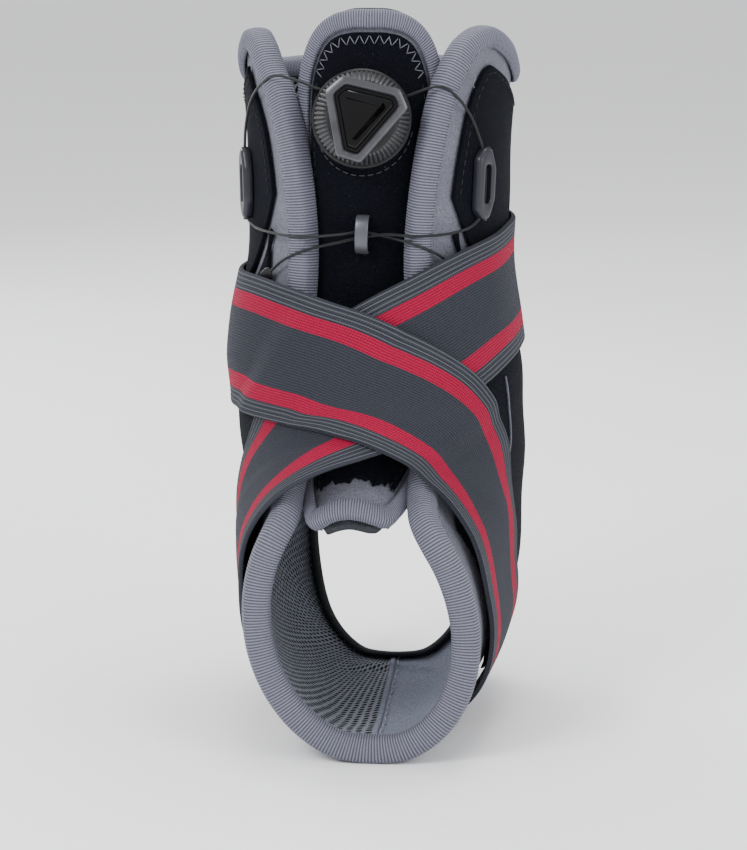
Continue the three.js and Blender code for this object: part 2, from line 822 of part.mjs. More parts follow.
// A lace starts at the side of the dial's flange and goes through the points of its table
function laceCurve(rows, exitAngle) {
  const away = dialPoint(1, exitAngle, 0).sub(dialFoot);
  const exit = walk(dialSeat, away, DIAL_FLANGE_RADIUS + LAYER_GAP);
  const start = place(exit, TONGUE_OUT + LACE_EXIT_RISE);
  const rest = rows.map((row) => {
    const face = BINDING_OUT + (TONGUE_OUT - BINDING_OUT) * row.depth;
    return place([row.station, row.angle], face + row.rise * LACE_DIAMETER);
  });
  return new THREE.CatmullRomCurve3([start, ...rest], false, 'centripetal');
}

function polygon(radius, sides) {
  const shape = new THREE.Shape();
  for (let i = 0; i < sides; i += 1) {
    const a = (2 * Math.PI * i) / sides;
    const [x, y] = [radius * Math.cos(a), radius * Math.sin(a)];
    if (i === 0) shape.moveTo(x, y);
    else shape.lineTo(x, y);
  }
  shape.closePath();
  return shape;
}

function tube(curve, radius) {
  return new THREE.ExtrudeGeometry(polygon(radius, LACE_SIDES), {
    steps: LACE_STEPS,
    bevelEnabled: false,
    extrudePath: curve,
  });
}

const laceLeft = laceCurve(LACE_LEFT, LACE_EXIT_LEFT);
const laceRight = laceCurve(LACE_RIGHT, LACE_EXIT_RIGHT);

// Puts a flat piece made in its own XY plane, thickness +Z, on the form; its Y runs up the leg
function seat(geometry, [station, angle], height) {
  const { along, normal } = slopes(station, angle);
  const up = along.clone().negate().addScaledVector(normal, along.dot(normal)).normalize();
  const right = up.clone().cross(normal).normalize();
  const frame = new THREE.Matrix4().makeBasis(right, up, normal);
  frame.setPosition(place([station, angle], height));
  return geometry.clone().applyMatrix4(frame);
}

function guideShape() {
  const x = GUIDE_WIDTH / 2;
  const y = GUIDE_LENGTH / 2;
  const shape = new THREE.Shape();
  shape.moveTo(-x, -y + GUIDE_CORNER);
  shape.lineTo(-x + GUIDE_CORNER, -y);
  shape.lineTo(x - GUIDE_CORNER, -y);
  shape.lineTo(x, -y + 2 * GUIDE_CORNER);
  shape.lineTo(x, y - 2 * GUIDE_CORNER);
  shape.lineTo(x - GUIDE_CORNER, y);
  shape.lineTo(-x + GUIDE_CORNER, y);
  shape.lineTo(-x, y - GUIDE_CORNER);
  shape.closePath();
  const slot = new THREE.Path();
  const end = (GUIDE_SLOT_LENGTH - GUIDE_SLOT_WIDTH) / 2;
  slot.absarc(0, end, GUIDE_SLOT_WIDTH / 2, 0, Math.PI, false);
  slot.absarc(0, -end, GUIDE_SLOT_WIDTH / 2, Math.PI, 2 * Math.PI, false);
  slot.closePath();
  shape.holes.push(slot);
  return shape;
}

function makeGuide(angle, lace) {
  const flat = new THREE.ExtrudeGeometry(guideShape(), {
    depth: GUIDE_WALL,
    bevelEnabled: false,
    curveSegments: SLOT_SEGMENTS,
  });
  const plate = seat(flat, [GUIDE_STATION, angle], PANEL_OUT + LAYER_GAP);
  const tunnel = tube(lace, LACE_DIAMETER / 2 + LACE_CLEARANCE);
  return fromManifold(toManifold(plate).subtract(toManifold(tunnel)));
}

function makeKeeper() {
  const x = KEEPER_LENGTH / 2;
  const shape = new THREE.Shape();
  const top = KEEPER_HEIGHT + KEEPER_WALL;
  const slope = KEEPER_HEIGHT / 2;
  shape.moveTo(-x, 0);
  shape.lineTo(-x + KEEPER_WALL, 0);
  shape.lineTo(-x + slope + KEEPER_WALL / 2, KEEPER_HEIGHT);
  shape.lineTo(x - slope - KEEPER_WALL / 2, KEEPER_HEIGHT);
  shape.lineTo(x - KEEPER_WALL, 0);
  shape.lineTo(x, 0);
  shape.lineTo(x - slope, top);
  shape.lineTo(-x + slope, top);
  shape.closePath();
  const flat = new THREE.ExtrudeGeometry(shape, { depth: KEEPER_WIDTH, bevelEnabled: false });
  flat.translate(0, 0, -KEEPER_WIDTH / 2);
  flat.rotateX(Math.PI / 2);
  flat.rotateZ(Math.PI / 2);
  return seat(flat, [KEEPER_STATION, KEEPER_ANGLE], TONGUE_OUT + LAYER_GAP);
}

function makeAnchor(curve) {
  const block = new THREE.BoxGeometry(ANCHOR_LENGTH, ANCHOR_WIDTH, ANCHOR_WALL);
  const direction = curve.getTangent(1);
  const away = LAYER_GAP + ANCHOR_LENGTH / 2;
  const middle = curve.getPoint(1).addScaledVector(direction, away);
  const side = direction.clone().cross(new THREE.Vector3(middle.x, middle.y, 0).normalize()).normalize();
  const frame = new THREE.Matrix4().makeBasis(direction, side, direction.clone().cross(side));
  frame.setPosition(middle);
  return block.applyMatrix4(frame);
}

// Lace dial

// Flange: round on top, and underneath it follows the tongue
function makeDialBase() {
  const sides = DIAL_SIDES;
  const rings = [DIAL_FLANGE_RADIUS, DIAL_FLANGE_RADIUS / 2];
  const positions = [];
  const turn = FULL_TURN / sides;
  for (let i = 0; i < sides; i += 1) positions.push(dialPoint(DIAL_FLANGE_RADIUS, turn * i, DIAL_FLANGE_HEIGHT));
  for (const radius of rings) {
    for (let i = 0; i < sides; i += 1) {
      const direction = dialPoint(1, turn * i, 0).sub(dialFoot);
      positions.push(place(walk(dialSeat, direction, radius), TONGUE_OUT + LAYER_GAP));
    }
  }
  const topCentre = positions.push(dialPoint(0, 0, DIAL_FLANGE_HEIGHT)) - 1;
  const footCentre = positions.push(dialFoot.clone()) - 1;
  const index = [];
  for (let i = 0; i < sides; i += 1) {
    const n = (i + 1) % sides;
    index.push(topCentre, i, n);
    quad(index, i, sides + i, sides + n, n);
    quad(index, sides + i, 2 * sides + i, 2 * sides + n, sides + n);
    index.push(2 * sides + i, footCentre, 2 * sides + n);
  }
  return solid(positions, index);
}

const RING_FOOT = DIAL_FLANGE_HEIGHT + DIAL_CLEARANCE;
const RING_TOP = RING_FOOT + DIAL_RING_HEIGHT;
const BEZEL_FOOT = RING_TOP + DIAL_CLEARANCE;
const BEZEL_TOP = BEZEL_FOOT + BEZEL_HEIGHT;

// Ring with radial fins: a straight rim below a cone
function makeDialRing() {
  const levels = [
    [RING_FOOT, DIAL_RADIUS],
    [RING_FOOT + DIAL_RIM_HEIGHT, DIAL_RADIUS],
    [RING_TOP, DIAL_TOP_RADIUS],
  ];
  const sides = 2 * FIN_COUNT;
  const positions = [];
  for (const [height, radius] of levels) {
    for (let i = 0; i < sides; i += 1) {
      positions.push(dialPoint(radius - (i % 2) * FIN_DEPTH, (FULL_TURN * i) / sides, height));
    }
  }
  const foot = positions.push(dialPoint(0, 0, RING_FOOT)) - 1;
  const top = positions.push(dialPoint(0, 0, RING_TOP)) - 1;
  const index = [];
  const last = (levels.length - 1) * sides;
  for (let i = 0; i < sides; i += 1) {
    const n = (i + 1) % sides;
    index.push(foot, n, i);
    for (let k = 0; k < levels.length - 1; k += 1) {
      quad(index, k * sides + i, k * sides + n, (k + 1) * sides + n, (k + 1) * sides + i);
    }
    index.push(last + i, last + n, top);
  }
  return solid(positions, index);
}

// Corners of the three-cornered bezel, each cut off square
function cornerPoints(radius) {
  const list = [];
  for (let k = 0; k < BEZEL_CORNERS; k += 1) {
    const middle = BEZEL_TURN + (FULL_TURN / BEZEL_CORNERS) * k;
    list.push([radius, middle - BEZEL_CORNER], [radius, middle + BEZEL_CORNER]);
  }
  return list;
}

function prism(levels) {
  const positions = [];
  for (const [radius, height] of levels) {
    for (const [r, a] of cornerPoints(radius)) positions.push(dialPoint(r, a, height));
  }
  const count = 2 * BEZEL_CORNERS;
  const index = [];
  for (let k = 0; k < levels.length - 1; k += 1) {
    for (let i = 0; i < count; i += 1) {
      const n = (i + 1) % count;
      quad(index, k * count + i, k * count + n, (k + 1) * count + n, (k + 1) * count + i);
    }
  }
  return { positions, index, count };
}

function makeBezel() {
  const hole = BEZEL_RADIUS * BEZEL_RIM;
  const levels = [
    [BEZEL_RADIUS, BEZEL_FOOT],
    [BEZEL_RADIUS, BEZEL_TOP - BEZEL_CHAMFER],
    [BEZEL_RADIUS - BEZEL_CHAMFER, BEZEL_TOP],
    [hole, BEZEL_TOP],
    [hole, BEZEL_FOOT],
  ];
  const { positions, index, count } = prism(levels);
  const last = (levels.length - 1) * count;
  for (let i = 0; i < count; i += 1) {
    const n = (i + 1) % count;
    quad(index, last + i, last + n, n, i);
  }
  return solid(positions, index);
}

function makeInsert() {
  const edge = BEZEL_RADIUS * BEZEL_RIM - DIAL_CLEARANCE;
  const levels = [
    [edge, BEZEL_FOOT],
    [edge, BEZEL_TOP - DIAL_CLEARANCE],
    [edge / 2, BEZEL_TOP + INSERT_CROWN],
  ];
  const { positions, index, count } = prism(levels);
  const foot = positions.push(dialPoint(0, 0, BEZEL_FOOT)) - 1;
  const top = positions.push(dialPoint(0, 0, BEZEL_TOP + INSERT_CROWN)) - 1;
  const last = (levels.length - 1) * count;
  for (let i = 0; i < count; i += 1) {
    const n = (i + 1) % count;
    index.push(foot, n, i);
    index.push(last + i, last + n, top);
  }
  return solid(positions, index);
}

// The whole brace

const FABRIC = { color: 0x8f909c, roughness: 0.9 };
const INNER_FABRIC = { color: 0x4b4e55, roughness: 0.95 };
const DARK_FABRIC = { color: 0x26272d, roughness: 0.95 };
const LOOP_FABRIC = { color: 0x14151c, roughness: 0.95 };
const ELASTIC = { color: 0x4b4e55, roughness: 0.85 };
const BLACK_PLASTIC = { color: 0x14151c, roughness: 0.35 };
const GRAY_PLASTIC = { color: 0x6c6c72, roughness: 0.45 };
const GUN_METAL = { color: 0x6c6c72, roughness: 0.3, metalness: 0.9 };
const STEEL_LACE = { color: 0x26272d, roughness: 0.4, metalness: 0.6 };

const underHeight = ([, angle]) => strapBase(angle);

const group = new THREE.Group();
group.add(
  mesh('shell', makeShell(), FABRIC),
  mesh('lining_left', makeLining(-1), INNER_FABRIC),
  mesh('lining_right', makeLining(1), INNER_FABRIC),
  mesh('edge_binding', makeEdgeBinding(), FABRIC),
  mesh('heel_binding', makeHeelBinding(), DARK_FABRIC),
  mesh('upper_panel', makeUpperPanel(), LOOP_FABRIC),
  mesh('lower_panel_left', makeLowerPanel(-1), LOOP_FABRIC),
  mesh('lower_panel_right', makeLowerPanel(1), LOOP_FABRIC),
  mesh('tongue_pad', tongueLayer(PAD_COLUMNS, -PAD_OVERHANG, PAD_IN, PAD_OUT), DARK_FABRIC),
  mesh('tongue_cover', tongueLayer(TONGUE_COLUMNS, 0, COVER_IN, COVER_OUT), FABRIC),
  mesh('tongue_panel', makeTonguePanel(), LOOP_FABRIC),
  mesh('tongue_binding', makeTongueBinding(), FABRIC),
  mesh('strap_under', makeStrap(underSpots, underHeight), ELASTIC),
  mesh('strap_over', makeStrap(overSpots, overHeight), ELASTIC),
  mesh('dial_base', makeDialBase(), BLACK_PLASTIC),
  mesh('dial_ring', makeDialRing(), BLACK_PLASTIC),
  mesh('dial_bezel', makeBezel(), GUN_METAL),
  mesh('dial_insert', makeInsert(), BLACK_PLASTIC),
  mesh('lace_left', tube(laceLeft, LACE_DIAMETER / 2), STEEL_LACE),
  mesh('lace_right', tube(laceRight, LACE_DIAMETER / 2), STEEL_LACE),
  mesh('guide_left', makeGuide(GUIDE_ANGLE_LEFT, laceLeft), GRAY_PLASTIC),
  mesh('guide_right', makeGuide(GUIDE_ANGLE_RIGHT, laceRight), GRAY_PLASTIC),
  mesh('keeper_loop', makeKeeper(), BLACK_PLASTIC),
  mesh('lace_anchor_left', makeAnchor(laceRight), BLACK_PLASTIC),
  mesh('lace_anchor_right', makeAnchor(laceLeft), BLACK_PLASTIC),
);

export default group;
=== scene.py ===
# Ankle brace, dressed for a studio picture: padded shell, tongue, lace dial and crossing elastic straps.
# Metres, +Z up, the toes point to -Y. Shapes are worked out in millimetres and scaled when a mesh is made.
import bpy
import math
import numpy as np
from mathutils import Matrix, Vector


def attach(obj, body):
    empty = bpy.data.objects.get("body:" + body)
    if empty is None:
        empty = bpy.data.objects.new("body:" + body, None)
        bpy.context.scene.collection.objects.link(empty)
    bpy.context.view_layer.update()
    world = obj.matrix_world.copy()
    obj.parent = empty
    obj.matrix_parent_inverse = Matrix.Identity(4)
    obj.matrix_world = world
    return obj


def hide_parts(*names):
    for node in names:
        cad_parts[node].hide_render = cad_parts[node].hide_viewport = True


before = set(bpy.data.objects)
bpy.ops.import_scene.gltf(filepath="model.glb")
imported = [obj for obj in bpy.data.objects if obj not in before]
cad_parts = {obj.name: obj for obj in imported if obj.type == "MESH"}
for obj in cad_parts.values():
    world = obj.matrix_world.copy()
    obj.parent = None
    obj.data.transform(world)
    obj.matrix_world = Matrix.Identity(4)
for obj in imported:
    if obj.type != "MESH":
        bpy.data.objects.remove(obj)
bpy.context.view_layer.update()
MM = 0.001


def add_object(name, data):
    thing = bpy.data.objects.new(name, data)
    bpy.context.collection.objects.link(thing)
    return thing


# Camera and light

CAMERA_AZIMUTH, CAMERA_ELEVATION = 5.0, 12.0
CAMERA_TARGET = Vector((-2.0, 0.0, 88.0)) * MM
CAMERA_DISTANCE = 1.0
CAMERA_LENS = 133.0
LIGHT_TARGET = Vector((0, 0, 0.11))


def aim(thing, target):
    thing.rotation_euler = (target - thing.location).to_track_quat("-Z", "Y").to_euler()


def make_camera():
    a, e = math.radians(CAMERA_AZIMUTH), math.radians(CAMERA_ELEVATION)
    data = bpy.data.cameras.new("photo_camera")
    data.sensor_width, data.lens = 36.0, CAMERA_LENS
    camera = add_object("photo_camera", data)
    back = Vector((math.sin(a) * math.cos(e), -math.cos(a) * math.cos(e), math.sin(e)))
    camera.location = CAMERA_TARGET + back * CAMERA_DISTANCE
    aim(camera, CAMERA_TARGET)
    bpy.context.scene.camera = camera


def make_light(name, place, size, watts):
    data = bpy.data.lights.new(name, "AREA")
    data.shape, data.size, data.energy = "DISK", size, watts
    lamp = add_object(name, data)
    lamp.location = place
    aim(lamp, LIGHT_TARGET)


def make_world():
    world = bpy.data.worlds.new("studio")
    bpy.context.scene.world = world
    world.use_nodes = True
    background = world.node_tree.nodes["Background"].inputs
    background["Color"].default_value = (0.97, 0.975, 0.98, 1)
    background["Strength"].default_value = 1.0


make_camera()
make_world()
make_light("key_light", (-0.55, -0.75, 0.85), 0.45, 9.0)
make_light("fill_light", (0.75, -0.6, 0.45), 0.7, 4.5)
make_light("top_light", (0.05, 0.15, 0.95), 0.5, 6.5)
make_light("rim_light", (-0.5, 0.6, 0.5), 0.5, 3.5)

# The worn form, the layers' walls and gaps, and the widths of edges and straps, in millimetres

FORM_HEIGHT, FORM_DEPTH, FORM_WIDTH = 232.0, 125.0, 80.0
LAYER_GAP, FACET_SAG, INNER_SAG = 0.4, 0.3, 0.75
LINING_WALL, SHELL_WALL, PANEL_WALL, BINDING_WALL = 1.2, 2.0, 1.0, 0.9
BINDING_LEG, HEEL_BINDING_LEG, TONGUE_BINDING_LEG = 8.0, 3.2, 4.5
PANEL_MARGIN, LOWER_MARGIN, TONGUE_MARGIN, PAD_OVERHANG = 2.0, 2.5, 0.8, 2.5
TONGUE_COVER_WALL, TONGUE_PAD_WALL = 1.4, 2.6
STRAP_WIDTH, STRAP_WALL, STRAP_RAMP, STRAP_CLEAR = 40.0, 1.5, 9.0, 3.0
LACE_ROOM, LACE_ROOM_FULL, LACE_ROOM_END = 1.9, 52.0, 82.0
LACE_DIAMETER, LACE_SHRINK = 1.0, 0.06
ROLLED_BACK, TONGUE_ROLLED_BACK, STITCHED_BACK = 3.3, 0.6, 4.1
RIB_PITCH, HEEL_RIB_PITCH, ROWS_IN_RIB = 0.86, 1.0, 4
LOWER_PANEL_BACK, PANEL_STITCH_INSET, PILE_RISE = 3.2, 12.1, 0.15

# Sections of the form from above the collar to the toe opening: front and back point, half width, where
# the section is widest, and the middle's shift, as shares of the form's depth, height and width.
SECTIONS = np.array([
    (-0.304, 1.0, 0.352, 0.888, 0.48, 0.5, 0.0, -0.012),
    (-0.336, 0.884, 0.344, 0.784, 0.46, 0.5, 0.0, -0.006),
    (-0.352, 0.767, 0.336, 0.681, 0.442, 0.5, 0.0, 0.0),
    (-0.352, 0.655, 0.332, 0.578, 0.44, 0.5, -0.006, -0.004),
    (-0.368, 0.56, 0.344, 0.466, 0.488, 0.5, -0.014, -0.006),
    (-0.408, 0.487, 0.384, 0.345, 0.497, 0.5, 0.0, 0.014),
    (-0.456, 0.435, 0.408, 0.207, 0.485, 0.52, 0.004, 0.034),
    (-0.504, 0.401, 0.336, 0.0585, 0.47, 0.55, -0.01, 0.038),
    (-0.544, 0.375, 0.096, 0.0065, 0.438, 0.56, -0.025, 0.038),
    (-0.572, 0.358, -0.256, 0.003, 0.395, 0.54, -0.031, 0.044),
    (-0.592, 0.345, -0.592, 0.0205, 0.365, 0.52, -0.038, 0.05),
]) * (FORM_DEPTH, FORM_HEIGHT, FORM_DEPTH, FORM_HEIGHT, FORM_WIDTH, 1, FORM_WIDTH, FORM_WIDTH)

# Edges: station of SECTIONS, degrees from the front on the right and on the left
EDGE = [
    (10.0, 180, 180), (10.0, 150, 150), (10.0, 120, 120), (10.0, 90, 90), (10.0, 65, 65), (9.9, 48, 48),
    (9.3, 37, 37), (8.0, 29, 30), (6.6, 25, 27), (5.2, 22.5, 25), (4.0, 21.5, 25), (3.0, 21.5, 28),
    (2.2, 24, 32), (1.6, 28, 37), (1.2, 32, 43), (0.9, 37, 50), (0.6, 45, 57), (0.42, 58, 66),
    (0.48, 75, 79), (0.62, 92, 94), (0.5, 116, 116), (0.32, 146, 146), (0.25, 180, 180),
]
HEEL_EDGE = [
    (7.75, 180, 180), (7.55, 158, 158), (7.1, 142, 142), (6.4, 134, 134), (5.7, 140, 140),
    (5.25, 155, 155), (5.05, 180, 180),
]
TONGUE_EDGE = [
    (0.39, 9, 9), (0.43, 19, 19), (0.55, 28, 28), (0.78, 35, 35), (1.15, 40, 40), (1.7, 42, 42),
    (2.6, 42, 42), (3.8, 40, 40), (5.0, 36, 36), (6.4, 33, 33), (7.8, 31, 31), (8.9, 29, 31),
    (9.7, 25, 28), (10.1, 16, 19), (10.2, 6, 6),
]
TONGUE_PANEL_END = 8.1
PANEL_SPLIT = [
    (2.35, 38.5, 46.5), (2.7, 45, 52), (3.1, 53, 59.5), (3.45, 64, 69), (3.8, 84, 88), (4.1, 120, 122),
    (4.2, 180, 180),
]
LOWER_REAR = [
    (2.8, 39.5, 46.5), (3.15, 44.5, 51.5), (3.55, 53, 59), (3.92, 66, 70), (4.2, 84, 86), (4.45, 103, 105),
    (4.9, 117, 118), (5.5, 121, 121), (6.4, 121, 121), (7.3, 124, 124), (8.0, 126, 126), (8.8, 118, 118),
]
LOWER_PANEL_TOP, LOWER_PANEL_END, SOLE_ANGLE = 2.75, 9.75, 60.0
STRAP_OVER = [
    (3.0, -178.9), (3.4, -145), (3.8, -112), (4.05, -85), (4.2, -65), (4.4, -42), (4.85, -15), (5.3, 0),
    (5.75, 15), (6.2, 29), (6.75, 42), (7.35, 54), (7.9, 68), (8.25, 86), (8.3, 105), (8.3, 124),
]
STRAP_UNDER = [
    (2.95, 178.9), (3.05, 145), (3.15, 112), (3.35, 84), (3.6, 60), (3.85, 44), (4.2, 29), (4.6, 15),
    (5.15, 0), (6.05, -14), (6.9, -30), (7.4, -43), (7.9, -58), (8.2, -75), (8.3, -95), (8.3, -110),
    (8.3, -124),
]
# Laces: station, angle, how far down from the binding's face to the tongue's, height in lace diameters
LACE_LEFT = [
    (1.0, -41, 0, 0.6), (1.05, -49, 0, 1.1), (1.2, -60, 0, 1.1), (1.45, -68, 0, 1.4), (1.75, -70, 0, 1.9),
    (2.2, -70, 0, 2.0), (2.55, -69, 0, 1.9), (2.68, -62, 0, 1.3), (2.78, -47, 0, 1.0), (2.85, -27, 0, 1.0),
    (2.84, -13, 0.63, 1.0), (2.82, -2, 1, 1.6), (2.86, 9, 0.78, 1.0), (2.92, 20, 0, 1.0), (3.05, 31, 0, 1.0),
    (3.2, 38, 0, 1.0),
]
LACE_RIGHT = [
    (1.14, 30, 0, 0.9), (1.24, 38, 0, 1.1), (1.42, 45, 0, 1.1), (1.65, 50, 0, 1.5), (1.85, 53, 0, 1.9),
    (2.2, 54, 0, 2.0), (2.5, 53, 0, 1.9), (2.66, 48, 0, 1.3), (2.76, 38, 0, 1.0), (2.82, 20, 0, 1.0),
    (2.82, 10, 0.42, 1.0), (2.88, -2, 1, 3.0), (2.93, -12, 0.54, 1.0), (3.02, -25, 0, 1.0),
    (3.15, -36, 0, 1.0), (3.3, -43, 0, 1.0),
]
LACE_EXIT_RISE, LACE_EXIT_LEFT, LACE_EXIT_RIGHT = 1.4, 146.0, 26.0
DIAL_SEAT = (1.54, -3.5)
DIAL_FLANGE_RADIUS, DIAL_FLANGE_HEIGHT, DIAL_RING_HEIGHT, DIAL_CLEARANCE = 15.0, 3.4, 6.4, 0.3
DIAL_TILT_UP, DIAL_TILT_RIGHT = 10.0, 6.0
BEZEL_HEIGHT = 1.8
FIN_COUNT, RING_SIDES, FLANGE_SIDES = 60, 96, 72
KEEPER_SEAT = (2.85, -2.0)
GUIDE_STATION, GUIDE_LEFT_ANGLE, GUIDE_RIGHT_ANGLE = 2.15, -70.0, 54.0

LINING_OUT = LINING_WALL
SHELL_IN = LINING_OUT + LAYER_GAP
SHELL_OUT = SHELL_IN + SHELL_WALL
PANEL_IN = SHELL_OUT + LAYER_GAP + FACET_SAG
PANEL_OUT = PANEL_IN + PANEL_WALL
BINDING_IN = PANEL_IN
BINDING_OUT = BINDING_IN + BINDING_WALL
BINDING_INSIDE = -LAYER_GAP - INNER_SAG
BINDING_BOTTOM = BINDING_INSIDE - BINDING_WALL
STRAP_SIDE = max(PANEL_OUT, BINDING_OUT) + 2 * LAYER_GAP
STRAP_FRONT = STRAP_SIDE + LACE_ROOM
STRAP_CROSSING = STRAP_FRONT + STRAP_WALL + 2 * LAYER_GAP
TONGUE_OUT = BINDING_BOTTOM - LAYER_GAP - FACET_SAG
TONGUE_SKIN_IN = TONGUE_OUT - BINDING_WALL
COVER_OUT = TONGUE_SKIN_IN - LAYER_GAP - FACET_SAG
COVER_IN = COVER_OUT - TONGUE_COVER_WALL
TONGUE_BINDING_INSIDE = COVER_IN - LAYER_GAP - FACET_SAG
TONGUE_BINDING_BOTTOM = TONGUE_BINDING_INSIDE - BINDING_WALL
PAD_OUT = TONGUE_BINDING_BOTTOM - LAYER_GAP
PAD_IN = PAD_OUT - TONGUE_PAD_WALL
BINDING_RISE = BINDING_OUT - SHELL_OUT
SOLE_REAR, SOLE_FRONT = (7.96, 8.06), (9.38, 9.62)
LAST = len(SECTIONS) - 1


def catmull(p0, p1, p2, p3, t):
    squared = (2 * p0 - 5 * p1 + 4 * p2 - p3) * t**2
    cubed = (3 * p1 - p0 - 3 * p2 + p3) * t**3
    return 0.5 * (2 * p1 + (p2 - p0) * t + squared + cubed)


SECTIONS_ON = np.vstack([2 * SECTIONS[0] - SECTIONS[1], SECTIONS, 2 * SECTIONS[-1] - SECTIONS[-2]])


def form(w, phi):
    """Points of the form's surface at stations w and angles phi, in millimetres."""
    w, phi = np.broadcast_arrays(np.asarray(w, float), np.asarray(phi, float))
    k = np.clip(np.floor(w).astype(int), 0, LAST - 1)
    row = catmull(*[SECTIONS_ON[k + n] for n in range(4)], (w - k)[..., None])
    fy, fz, by, bz, half, widest, fx, bx = [row[..., i] for i in range(8)]
    c, s = np.cos(np.radians(phi)), np.sin(np.radians(phi))
    cx, cy, cz = fx + widest * (bx - fx), fy + widest * (by - fy), fz + widest * (bz - fz)
    front = c >= 0
    return np.stack([
        cx + np.where(front, fx - cx, cx - bx) * c + half * s,
        cy + np.where(front, fy - cy, cy - by) * c,
        cz + np.where(front, fz - cz, cz - bz) * c,
    ], -1)


def unit(v):
    return v / np.maximum(np.linalg.norm(v, axis=-1, keepdims=True), 1e-12)


def slopes(w, phi):
    """The form's directions along the leg and round it, and its outward normal."""
    d = 0.002
    along = (form(w + d, phi) - form(w - d, phi)) / (2 * d)
    across = (form(w, phi + d) - form(w, phi - d)) / (2 * d)
    return along, across, unit(np.cross(along, across))


def smooth(a, b, value):
    """A soft step from 0 at a to 1 at b."""
    t = np.clip((value - a) / (b - a), 0, 1)
    return t * t * (3 - 2 * t)


def from_front(phi):
    """Degrees away from the front, on either side."""
    return np.abs((phi + 180) % 360 - 180)


# Softness of the bend where the wall meets the floor, in millimetres, and how many of them it reaches down
ROLL, ROLL_REACH = 0.6, 8


def unevenness(w, phi):
    """Soft hollows and swellings of the padded wall in millimetres, the same for every layer."""
    a = np.radians(phi)
    waist = smooth(3.5, 4.6, w) * (1 - smooth(7.0, 7.7, w))
    collar = (1 - smooth(2.2, 3.3, w)) * smooth(60, 90, from_front(phi))
    broad = 0.55 * np.sin(2.1 * w + 0.9) * np.sin(3 * a + 1.3) + 0.3 * np.sin(5.3 * w + 2 * a)
    return waist * broad + collar * 0.35 * np.sin(3.1 * w + 4 * a)


def place(spots, height):
    """Points at a height above the form, no lower than the flat sole lets that layer be."""
    w, phi = spots[..., 0], spots[..., 1]
    height = np.asarray(height, float)
    p = form(w, phi) + slopes(w, phi)[2] * (height + unevenness(w, phi))[..., None]
    lift = BINDING_RISE * np.maximum(1 - smooth(*SOLE_REAR, w), smooth(*SOLE_FRONT, w))
    floor = np.maximum(SHELL_OUT - height + lift, 0)
    over = (p[..., 2] - floor) / ROLL
    bend = np.log1p(np.exp(-np.abs(over))) * (over > -ROLL_REACH)
    p[..., 2] = floor + ROLL * (np.maximum(over, 0) + bend)
    return p


def walk(spots, direction, distance, steps=3):
    """Spots reached from other spots by going a distance over the form in a direction."""
    w, phi = spots[..., 0].copy(), spots[..., 1].copy()
    heading = np.array(direction, float)
    distance = np.asarray(distance, float)
    for _ in range(steps):
        sw, sp, n = slopes(w, phi)
        heading = unit(heading - n * np.sum(heading * n, -1, keepdims=True))
        step = heading * (distance / steps)[..., None]
        aa, ar, rr = np.sum(sw * sw, -1), np.sum(sw * sp, -1), np.sum(sp * sp, -1)
        sa, sr = np.sum(sw * step, -1), np.sum(sp * step, -1)
        det = aa * rr - ar * ar
        w = w + (sa * rr - sr * ar) / det
        phi = phi + (aa * sr - ar * sa) / det
    return np.stack([w, phi], -1)


def curve_at(points, t, closed):
    """A Catmull-Rom curve through points, at shares t of its length in points."""
    p = np.array(points, float)
    n = len(p)
    t = np.asarray(t, float)
    if closed:
        x = t * n
        i = np.floor(x).astype(int)
        q = [p[(i + k) % n] for k in (-1, 0, 1, 2)]
    else:
        e = np.vstack([2 * p[0] - p[1], p, 2 * p[-1] - p[-2]])
        x = t * (n - 1)
        i = np.clip(np.floor(x).astype(int), 0, n - 2)
        q = [e[i + k] for k in range(4)]
    return catmull(*q, (x - i)[..., None])


def even(points, steps, closed, a=0.0, b=1.0):
    """Shares of a curve on the form that are evenly spaced by length."""
    t = np.linspace(a, b, 1600)
    s = curve_at(points, t, closed)
    p = form(s[:, 0], s[:, 1])
    length = np.concatenate([[0], np.cumsum(np.linalg.norm(np.diff(p, axis=0), axis=1))])
    return np.interp(np.linspace(0, length[-1], steps), length, t), length[-1]


def loop_points(rows):
    """A closed edge from rows of station, right angle and left angle."""
    right = [(w, r) for w, r, _ in rows]
    return right + [(w, 360 - l) for w, _, l in rows[1:-1][::-1]]


def side_points(rows, side, past_back=False):
    """One side of such rows; past_back counts the left's angles on past the back."""
    return [(w, r if side > 0 else (360 if past_back else 0) - l) for w, r, l in rows]


def side_spots(points, steps):
    t, _ = even(points, steps, False)
    return curve_at(points, t, False)


def sideways(spots, closed):
    """Directions over the form across a line of spots."""
    p = form(spots[:, 0], spots[:, 1])
    if closed:
        tangent = np.roll(p, -1, 0) - np.roll(p, 1, 0)
    else:
        tangent = np.gradient(p, axis=0)
    return unit(np.cross(slopes(spots[:, 0], spots[:, 1])[2], tangent))


def towards(spots, directions, targets):
    """The directions, turned round if they lead away from the targets."""
    gap = form(targets[:, 0], targets[:, 1]) - form(spots[:, 0], spots[:, 1])
    return directions if np.sign(np.sum(gap * directions, -1)).sum() > 0 else -directions


# Mesh helpers

PIECES = []


def shade(thing, soft=True):
    """Smooth or flat shading of all faces."""
    thing.data.polygons.foreach_set("use_smooth", [soft] * len(thing.data.polygons))
    return thing


def new_piece(name, verts, faces, uv=None, body="brace"):
    """A mesh object from points in millimetres. uv holds one pair for each point, in millimetres."""
    mesh = bpy.data.meshes.new(name)
    mesh.from_pydata((np.asarray(verts, float).reshape(-1, 3) * MM).tolist(), [], [tuple(f) for f in faces])
    if uv is not None:
        layer = mesh.uv_layers.new(name="cloth")
        index = np.empty(len(mesh.loops), int)
        mesh.loops.foreach_get("vertex_index", index)
        layer.data.foreach_set("uv", np.asarray(uv, float).reshape(-1, 2)[index].ravel())
    mesh.validate()
    thing = shade(add_object(name, mesh))
    PIECES.append((thing, body))
    return thing


